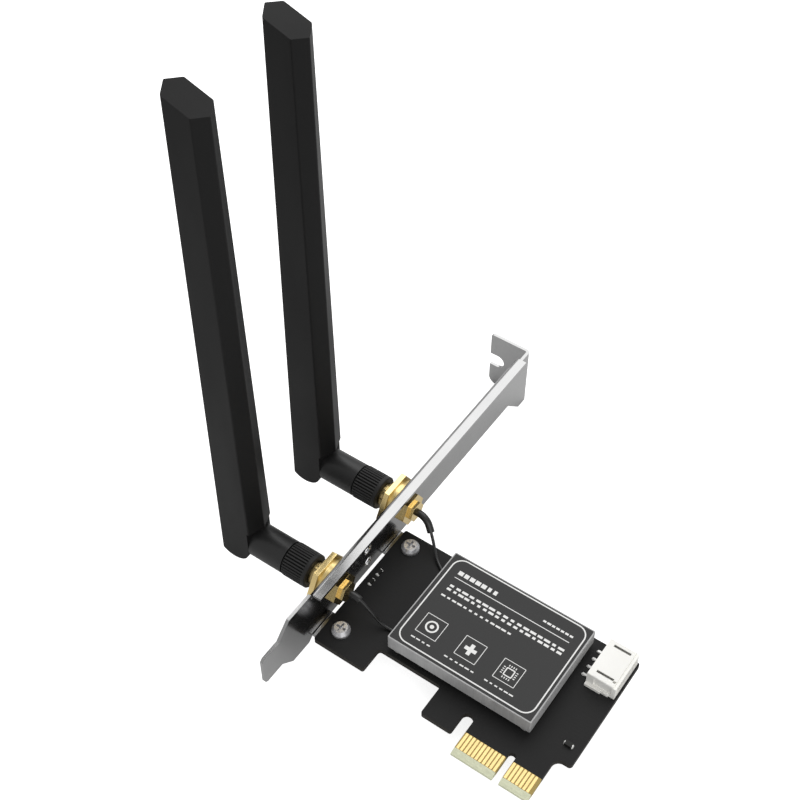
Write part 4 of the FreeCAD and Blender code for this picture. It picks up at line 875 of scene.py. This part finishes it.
@dataclass
class DashLine(Form):
    """A printed line of plain dashes of uneven length, in place of writing."""

    left: float  # X where the line starts, in millimetres
    right: float  # X where it ends
    middle: float  # Y of its middle
    height: float
    count: int
    seed: int  # seed of their lengths
    level: float = 0.0  # Z of the printed surface, in metres
    ink: float = 0.0  # thickness of the ink, in metres
    shortest: float = 0.45  # shortest dash, as a share of its room
    longest: float = 0.86  # longest dash

    def sizes(self) -> dict[str, Any]:
        """The inputs of its tree, in metres, with the place of the first dash.

        Returns:
            The inputs by name.
        """
        pitch = (self.right - self.left) * MM / self.count
        start = (self.left * MM + pitch / 2, self.middle * MM, self.level + self.ink / 2)
        return {"Start": start, "Pitch": pitch, "Height": self.height * MM, "Ink": self.ink,
                "Count": self.count, "Seed": self.seed}

    def shape(self, tree: Growth) -> Node:
        """The dashes, flat on the printed surface and as thick as the ink.

        Args:
            tree: The form's tree.

        Returns:
            The last node.
        """
        given = tree.inputs
        row = tree.add("GeometryNodeMeshLine", {
            "Count": given["Count"], "Start Location": given["Start"],
            "Offset": tree.add("ShaderNodeCombineXYZ", (given["Pitch"],))}, mode="OFFSET")
        share = tree.add("FunctionNodeRandomValue", {
            2: self.shortest, 3: self.longest, "Seed": given["Seed"]}, data_type="FLOAT")
        length = tree.add("ShaderNodeMath", (
            share.outputs[1], given["Pitch"]), operation="MULTIPLY")
        size = tree.add("ShaderNodeCombineXYZ", (length, given["Height"], given["Ink"]))
        dash = tree.add("GeometryNodeMeshCube", {"Size": (1.0, 1.0, 1.0)})
        return tree.add("GeometryNodeInstanceOnPoints", {
            "Points": row, "Instance": dash, "Scale": size})


@dataclass
class SolderRow(Form):
    """A row of solder fillets along Y where leads or terminals meet the board."""

    start: Point  # the first fillet's middle
    size: Point  # half length, half width and height of a fillet
    pitch: float = 0.0  # distance from one to the next
    count: int = 1
    foot: float = -0.15  # where the lower half is pressed flat, as a share of the height

    def shape(self, tree: Growth) -> Node:
        """The row of low, rounded mounds that stand on their pads.

        Args:
            tree: The form's tree.

        Returns:
            The last node.
        """
        given = tree.inputs
        row = tree.add("GeometryNodeMeshLine", {
            "Count": given["Count"], "Start Location": given["Start"],
            "Offset": tree.add("ShaderNodeCombineXYZ", (0.0, given["Pitch"]))}, mode="OFFSET")
        ball = tree.add("GeometryNodeSetShadeSmooth", (
            tree.add("GeometryNodeMeshUVSphere", {"Segments": 16, "Rings": 10, "Radius": 1.0}),))
        foot = tree.add("ShaderNodeCombineXYZ", (-1.0, -1.0, given["Foot"]))
        mound = tree.add("GeometryNodeSetPosition", {
            "Geometry": ball,
            "Position": tree.add("ShaderNodeVectorMath", (
                tree.add("GeometryNodeInputPosition"), foot), operation="MAXIMUM")})
        return tree.add("GeometryNodeInstanceOnPoints", {
            "Points": row, "Instance": mound, "Scale": given["Size"]})


@dataclass(frozen=True)
class Frame:
    """A printed line inside a rectangle of rounded corners, in millimetres."""

    left: float  # the rectangle's sides
    right: float
    low: float
    high: float
    stroke: float = 0.16
    radius: float = 0.1  # radius outside its corners
    inner: float = 0.05  # radius inside them
    steps: int = 1  # facets of a corner

    def side(self, inset: float, radius: float) -> list[Pair]:
        """Corners of one side of the line, this far inside the rectangle, counter-clockwise.

        Args:
            inset: How far it lies inside the rectangle.
            radius: Radius of its corners.

        Returns:
            The corners.
        """
        near, far = self.left + inset + radius, self.right - inset - radius
        low, high = self.low + inset + radius, self.high - inset - radius
        points = []
        for x, y, first in ((far, high, 0), (near, high, 90), (near, low, 180), (far, low, 270)):
            for i in range(self.steps + 1):
                turn = math.radians(first + 90 * i / self.steps)
                points.append((x + radius * math.cos(turn), y + radius * math.sin(turn)))
        return points


class Print:
    """Flat ink, drawn in millimetres into one mesh."""

    def __init__(self, level: float, ink: float) -> None:
        """Starts a print on a surface at this level with this thickness, in metres."""
        self.shape = bmesh.new()
        self.low, self.top = level - ink, level + ink

    def ribbon(self, outer: Sequence[Pair], inner: Sequence[Pair]) -> None:
        """Adds a flat ring between two outlines with the same number of corners.

        Args:
            outer: Corners of the outer outline.
            inner: Corners of the inner one.
        """
        rings = [
            [self.shape.verts.new((x * MM, y * MM, z)) for x, y in line]
            for line, z in ((outer, self.top), (inner, self.top),
                            (inner, self.low), (outer, self.low))
        ]
        for number, ring in enumerate(rings):
            beside = rings[(number + 1) % len(rings)]
            for i in range(len(outer)):
                j = (i + 1) % len(outer)
                self.shape.faces.new((ring[i], ring[j], beside[j], beside[i]))

    def frame(self, line: Frame) -> None:
        """Adds a frame."""
        self.ribbon(line.side(0.0, line.radius), line.side(line.stroke, line.inner))

    def ring(self, x: float, y: float, radius: float, stroke: float) -> None:
        """Adds a ring about a point.

        Args:
            x: X of the point.
            y: Y of the point.
            radius: Outer radius.
            stroke: Width of the line.
        """
        turns = [math.tau * i / 32 for i in range(32)]
        self.ribbon(*([(x + r * math.cos(t), y + r * math.sin(t)) for t in turns]
                      for r in (radius, radius - stroke)))

    def bar(self, x: float, y: float, length: float, width: float) -> None:
        """Adds a bar about a point.

        Args:
            x: X of the point.
            y: Y of the point.
            length: Size along X.
            width: Size along Y.
        """
        made = bmesh.ops.create_cube(self.shape, size=1.0)
        stretch = Matrix.Diagonal((length * MM, width * MM, self.top - self.low, 1.0))
        move = Matrix.Translation((x * MM, y * MM, (self.low + self.top) / 2))
        bmesh.ops.transform(self.shape, matrix=move @ stretch, verts=made["verts"])


@dataclass
class Bracket:
    """The folded slot bracket, the screws that hold the board to its feet and the jacks' nuts."""

    def build(self) -> None:
        """Dresses the sheet, its screws and the nuts."""
        RolledEdges("bracket", Slot.STEEL, edge=0.12, angle=40).build()
        RolledEdges("bracket_screws", Slot.SCREW, edge=0.1, angle=28).build()
        RolledEdges("jack_nuts", Slot.JACK, edge=0.12, angle=28).build()


@dataclass
class Board:
    """The circuit board with its fingers and the solder on it. Sizes are in millimetres."""

    top: float = 0.8  # Z of the board's face
    tail_inset: Pair = (0.35, 0.32)  # X and Y from the pins' corner to the first pin tail
    tail_pitch: float = 2.5  # distance from one tail to the next
    tail_size: Point = (0.6, 0.42, 0.22)  # half length, half width and height of a tail's fillet
    lamp_long: float = 1.7  # length of a status lamp
    lamp_spacing: float = 3.5  # distance from one lamp to the next
    lamp_fillet: Pair = (0.58, 0.3)  # half length and half width of the fillet at a lamp's end
    capacitor_fillet: Pair = (0.3, 0.6)  # the same at the capacitor's end
    proud: float = 0.04  # how far these two stand above their part

    def build(self) -> None:
        """Dresses the board and grows the solder on it."""
        RolledEdges("circuit_board", Slot.BOARD, edge=0.04).build()
        RolledEdges("contact_fingers", Slot.CONTACT, edge=0.02).build()
        low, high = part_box("status_lamps")
        x, far = (low.x + high.x) / 2, low.y + self.lamp_long * MM
        self.terminals("lamp", ((x, low.y), (x, far)), self.lamp_fillet, high.z, count=2)
        low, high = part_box("corner_capacitor")
        y = (low.y + high.y) / 2
        self.terminals("capacitor", ((low.x, y), (high.x, y)), self.capacitor_fillet, high.z)
        low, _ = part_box("header_pins")
        start = (low.x + self.tail_inset[0] * MM, low.y + self.tail_inset[1] * MM, self.top * MM)
        SolderRow(start, tuple(size * MM for size in self.tail_size), self.tail_pitch * MM,
                  count=4).piece("tail_solder", Slot.PIN)

    def terminals(
        self, part: str, ends: Sequence[Pair], sides: Pair, part_top: float, count: int = 1
    ) -> None:
        """Solder at both ends of one part or of a row of them.

        Args:
            part: The part's name.
            ends: X and Y of its two ends, in metres.
            sides: Half length and half width of a fillet.
            part_top: Z of the part's top, in metres.
            count: Number of parts in the row.
        """
        rise = part_top - self.top * MM + self.proud * MM
        for end, (x, y) in zip(("near", "far"), ends):
            row = SolderRow((x, y, self.top * MM), (sides[0] * MM, sides[1] * MM, rise),
                            self.lamp_spacing * MM, count)
            row.piece(f"{part}_solder_{end}", Slot.PIN, SOLDER)


@dataclass
class Cover:
    """The metal cover over the radio module and its printed label. Sizes are in millimetres."""

    ink: float = 0.03  # thickness of the print, drawn thick enough not to flicker
    # the border, three small frames and the chip sign in the last of them
    frames: tuple[Frame, ...] = (
        Frame(-38.65, -0.4, 15.0, 43.25, stroke=0.34, radius=3.0, inner=2.66, steps=8),
        Frame(-35.6, -29.65, 19.3, 25.3),
        Frame(-24.4, -18.45, 19.3, 25.3),
        Frame(-13.5, -7.55, 19.3, 25.3),
        Frame(-11.75, -9.35, 21.1, 23.5, stroke=0.3, radius=0.3, inner=0.1, steps=3),
    )
    # X, Y, radius and stroke of the ring sign in the first small frame
    rings: tuple[Quad, ...] = ((-32.6, 22.3, 1.7, 0.45), (-32.6, 22.3, 0.55, 0.54))
    # X, Y, length and width of the plus sign in the second, and of the dividing line
    bars: tuple[Quad, ...] = (
        (-21.45, 22.3, 3.2, 1.0), (-21.45, 23.35, 1.0, 1.1), (-21.45, 21.25, 1.0, 1.1),
        (-19.575, 37.5, 32.9, 0.2),
    )
    chip: Pair = (-10.55, 22.3)  # X and Y of the chip sign's middle
    # length, width and pitch of its legs, and their distance from its middle
    legs: Quad = (0.5, 0.24, 0.6, 1.75)
    # the lines of dashes where a label carries writing
    writing: tuple[DashLine, ...] = (
        DashLine(-36.1, -24.3, 39.25, 1.2, 7, seed=3),
        DashLine(-11.6, -2.9, 39.3, 0.55, 7, seed=5),
        DashLine(-36.1, -2.8, 34.9, 0.65, 17, seed=8),
        DashLine(-36.1, -2.8, 33.7, 0.65, 19, seed=9),
        DashLine(-36.2, -15.5, 31.45, 0.5, 13, seed=13),
        DashLine(-35.6, -29.7, 17.5, 0.36, 4, seed=21),
        DashLine(-26.1, -17.2, 17.5, 0.36, 6, seed=34),
        DashLine(-14.7, -6.4, 17.5, 0.36, 6, seed=55),
    )

    def build(self) -> None:
        """Dresses the cover, its screws and its label."""
        RolledEdges("cover", Slot.COVER, edge=0.09).build()
        RolledEdges("cover_screws", Slot.SCREW, edge=0.08, angle=28).build()
        RolledEdges("cover_label", Slot.LABEL, edge=0.03).build()
        level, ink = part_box("cover_label")[1].z, self.ink * MM
        self.print_frames(Print(level, ink))
        for number, line in enumerate(self.writing, 1):
            replace(line, level=level, ink=ink).piece(f"label_dashes_{number}", Slot.LABEL, INK)

    def print_frames(self, ink: Print) -> None:
        """The border, the small frames with what stands in them, and the dividing line.

        Args:
            ink: The print.
        """
        for line in self.frames:
            ink.frame(line)
        for ring in self.rings:
            ink.ring(*ring)
        for bar in self.bars:
            ink.bar(*bar)
        x, y = self.chip
        length, width, pitch, out = self.legs
        for i in range(4):
            step = pitch * (i - 1.5)
            for off in (-out, out):
                ink.bar(x + step, y + off, width, length)
                ink.bar(x + off, y + step, length, width)
        bmesh.ops.recalc_face_normals(ink.shape, faces=ink.shape.faces)
        finish_piece(new_object("label_frames", ink.shape), "card", INK)


@dataclass
class Header:
    """The white side-entry header and its pins."""

    def build(self) -> None:
        """Dresses the housing and the pins."""
        RolledEdges("header_housing", Slot.HEADER, edge=0.07, merge=False).build()
        RolledEdges("header_pins", Slot.PIN, edge=0.06).build()


@dataclass
class Jack:
    """One antenna jack with its cable inside the card. Sizes are in millimetres."""

    side: str  # "lower" or "upper"
    thread_start: float = -62.05  # X where the bare thread leaves the nut
    thread_length: float = 2.65  # length of bare thread up to the antenna's nut
    pitch: float = 0.7056
    radius: float = 3.175
    crest: float = 0.09  # half width of the thread's crest

    def build(self) -> None:
        """Dresses the jack and grows the bare stretch of its thread."""
        RolledEdges(f"{self.side}_jack", Slot.JACK, edge=0.04).build()
        low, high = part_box(f"{self.side}_jack_pin")
        start = (self.thread_start * MM, (low.y + high.y) / 2, (low.z + high.z) / 2)
        thread = ThreadRidge(start, self.radius * MM, self.pitch * MM, self.thread_length * MM,
                             self.crest * MM)
        thread.piece(f"{self.side}_jack_thread", Slot.JACK)
        RolledEdges(f"{self.side}_sleeve", Slot.SLEEVE, edge=0.2).build()


@dataclass
class Antenna:
    """One folding antenna: knurled nut, barrel, hinge and blade. Sizes are in millimetres."""

    side: str  # "lower" or "upper"
    rib_count: int = 36  # ribs round the nut's grip
    rib_start: float = -66.2  # X of the ribs' near end
    rib_end: float = -71.8  # X of their far end
    rib_width: float = 0.3  # width of a rib's crown
    rib_rise: float = 0.1  # its height
    rib_sunk: float = 0.06  # how far its foot lies inside the nut

    def build(self) -> None:
        """Dresses the antenna's mouldings, and puts rounded crowns on the nut's ribs."""
        nut = f"{self.side}_coupling_nut"
        RolledEdges(nut, Slot.ANTENNA, edge=0.05, angle=25, finish=GRIP).build()
        RolledEdges(f"{self.side}_barrel", Slot.ANTENNA, edge=0.1, finish=BARREL).build()
        RolledEdges(f"{self.side}_blade", Slot.ANTENNA, edge=0.25, angle=24, segments=3).build()
        low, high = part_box(nut)
        centre = ((self.rib_start + self.rib_end) / 2 * MM, (low.y + high.y) / 2,
                  (low.z + high.z) / 2)
        ribs = RibRing(centre, (high.z - low.z) / 2 - self.rib_sunk * MM,
                       (self.rib_start - self.rib_end) * MM, self.rib_width * MM,
                       self.rib_rise * MM, self.rib_count)
        ribs.piece(f"{self.side}_grip_ribs", Slot.ANTENNA, GRIP, body_of(nut))


@dataclass
class Studio:
    """Pale floor, plain soft light and the camera. Places are in millimetres."""

    eye: Point = (66.052, -132.354, 302.998)  # the camera's place
    pitch: float = 49.150  # how far it looks down, in degrees
    yaw: float = 55.049  # how far its right-hand axis is turned from X, in degrees
    lens: float = 63.85  # focal length
    sensor: float = 36.0  # width of its sensor
    # name, place, side and watts of the key lamp over the tab end and of the fill
    lamps: tuple[tuple[str, Point, float, float], ...] = (
        ("key", (-140.0, 330.0, 520.0), 640.0, 2.3),
        ("fill", (320.0, -220.0, 240.0), 420.0, 0.7),
    )
    middle: Point = (-40.0, 45.0, 20.0)  # what the lamps point at
    floor_colour: str = "#e6e6e6"
    floor_gap: float = 0.2  # from the card's lowest point down to the floor
    floor_reach: float = 3000.0  # half a side of the floor
    # how strongly the floor shines: on things, for the eye, and more in gloss
    floor_light: Point = (0.0, 0.8, 0.12)
    sky_light: Point = (0.42, 1.0, 0.26)  # the same of the sky

    def build(self) -> None:
        """Builds the whole studio."""
        self.camera()
        self.floor()
        self.sky()
        for name, place, size, watts in self.lamps:
            self.lamp(name, Vector(place) * MM, size * MM, watts)

    def lamp(self, name: str, place: Vector, size: float, watts: float) -> None:
        """Hangs a square, soft lamp of this size in metres at a place in metres.

        Args:
            name: Its name.
            place: Its place in metres.
            size: Its side in metres.
            watts: Its power.
        """
        data = bpy.data.lights.new(name, "AREA")
        data.size = size
        data.energy = watts
        obj = bpy.data.objects.new(name, data)
        aim = (Vector(self.middle) * MM - place).to_track_quat("-Z", "Y")
        obj.matrix_world = Matrix.Translation(place) @ aim.to_matrix().to_4x4()
        bpy.context.scene.collection.objects.link(obj)

    def camera(self) -> None:
        """The camera at the photograph's viewing angle."""
        pitch, yaw = math.radians(self.pitch), math.radians(self.yaw)
        ahead = Vector((-math.cos(pitch) * math.cos(yaw), math.cos(pitch) * math.sin(yaw),
                        -math.sin(pitch)))
        right = Vector((math.sin(yaw), math.cos(yaw), 0.0))
        turn = Matrix((right, right.cross(ahead), -ahead)).transposed().to_4x4()
        data = bpy.data.cameras.new("camera")
        data.lens = self.lens
        data.sensor_width = self.sensor
        data.clip_start = 0.01
        obj = bpy.data.objects.new("camera", data)
        obj.matrix_world = Matrix.Translation(Vector(self.eye) * MM) @ turn
        bpy.context.scene.collection.objects.link(obj)
        bpy.context.scene.camera = obj

    def strength(self, nodes: Nodes, light: Point) -> Node:
        """How strongly a ground shines, by who looks at it.

        Args:
            nodes: The tree of its material or of the world.
            light: Its strength to surfaces, to the eye, and what gloss sees on top.

        Returns:
            The strength.
        """
        plain, seen, gloss = light
        ray = nodes.add("ShaderNodeLightPath").outputs
        eye = nodes.add("ShaderNodeMath", (
            ray["Is Camera Ray"], ray["Is Transmission Ray"]), operation="MAXIMUM")
        level = nodes.add("ShaderNodeMapRange", (eye, 0.0, 1.0, plain, seen))
        return nodes.add("ShaderNodeMath", (
            ray["Is Glossy Ray"], gloss, level), operation="MULTIPLY_ADD")

    def floor(self) -> None:
        """A pale floor that keeps the shadow and runs out to white for the eye."""
        shape = bmesh.new()
        bmesh.ops.create_grid(shape, x_segments=1, y_segments=1, size=self.floor_reach * MM)
        bmesh.ops.translate(shape, verts=shape.verts,
                            vec=(0, 0, CAD_BOX[0][2] - self.floor_gap * MM))
        obj = new_object("floor", shape)
        paint = bpy.data.materials.new("pale_floor")
        paint.use_nodes = True
        nodes = Nodes(paint.node_tree)
        matt = nodes.add("ShaderNodeBsdfDiffuse", {"Color": linear(self.floor_colour)})
        glow = nodes.add("ShaderNodeEmission", {
            "Strength": self.strength(nodes, self.floor_light)})
        both = nodes.add("ShaderNodeAddShader", (matt, glow))
        nodes.add("ShaderNodeOutputMaterial", {"Surface": both})
        obj.data.materials.append(paint)

    def sky(self) -> None:
        """An even grey sky that the eye sees as white."""
        world = bpy.data.worlds.new("studio")
        bpy.context.scene.world = world
        world.use_nodes = True
        nodes = Nodes(world.node_tree)
        sky = nodes.add("ShaderNodeBackground", {
            "Color": (1.0, 1.0, 1.0, 1.0), "Strength": self.strength(nodes, self.sky_light)})
        nodes.add("ShaderNodeOutputWorld", {"Surface": sky})


def dress_nodes() -> None:
    """Gives every CAD node that still shows the finish of its record slot."""
    slots = {slot.value: slot for slot in Slot}
    for name, obj in frame["nodes"].items():
        for number, old in enumerate(obj.data.materials):
            slot = slots[old.name.split(".")[0]]
            obj.data.materials[number] = FINISHES[slot].material()
        LOG.info("%s dressed", name)


def main() -> None:
    """Builds the card piece by piece."""
    logging.basicConfig(level=logging.INFO, format="%(name)s: %(message)s")
    bpy.context.scene.view_settings.view_transform = "Standard"
    dress_nodes()
    for assembly in (
        Bracket(), Board(), Cover(), Header(),
        Jack("lower"), Jack("upper"), Antenna("lower"), Antenna("upper"), Studio(),
    ):
        assembly.build()
        LOG.info("%s built", type(assembly).__name__)


if __name__ == "__main__":
    main()
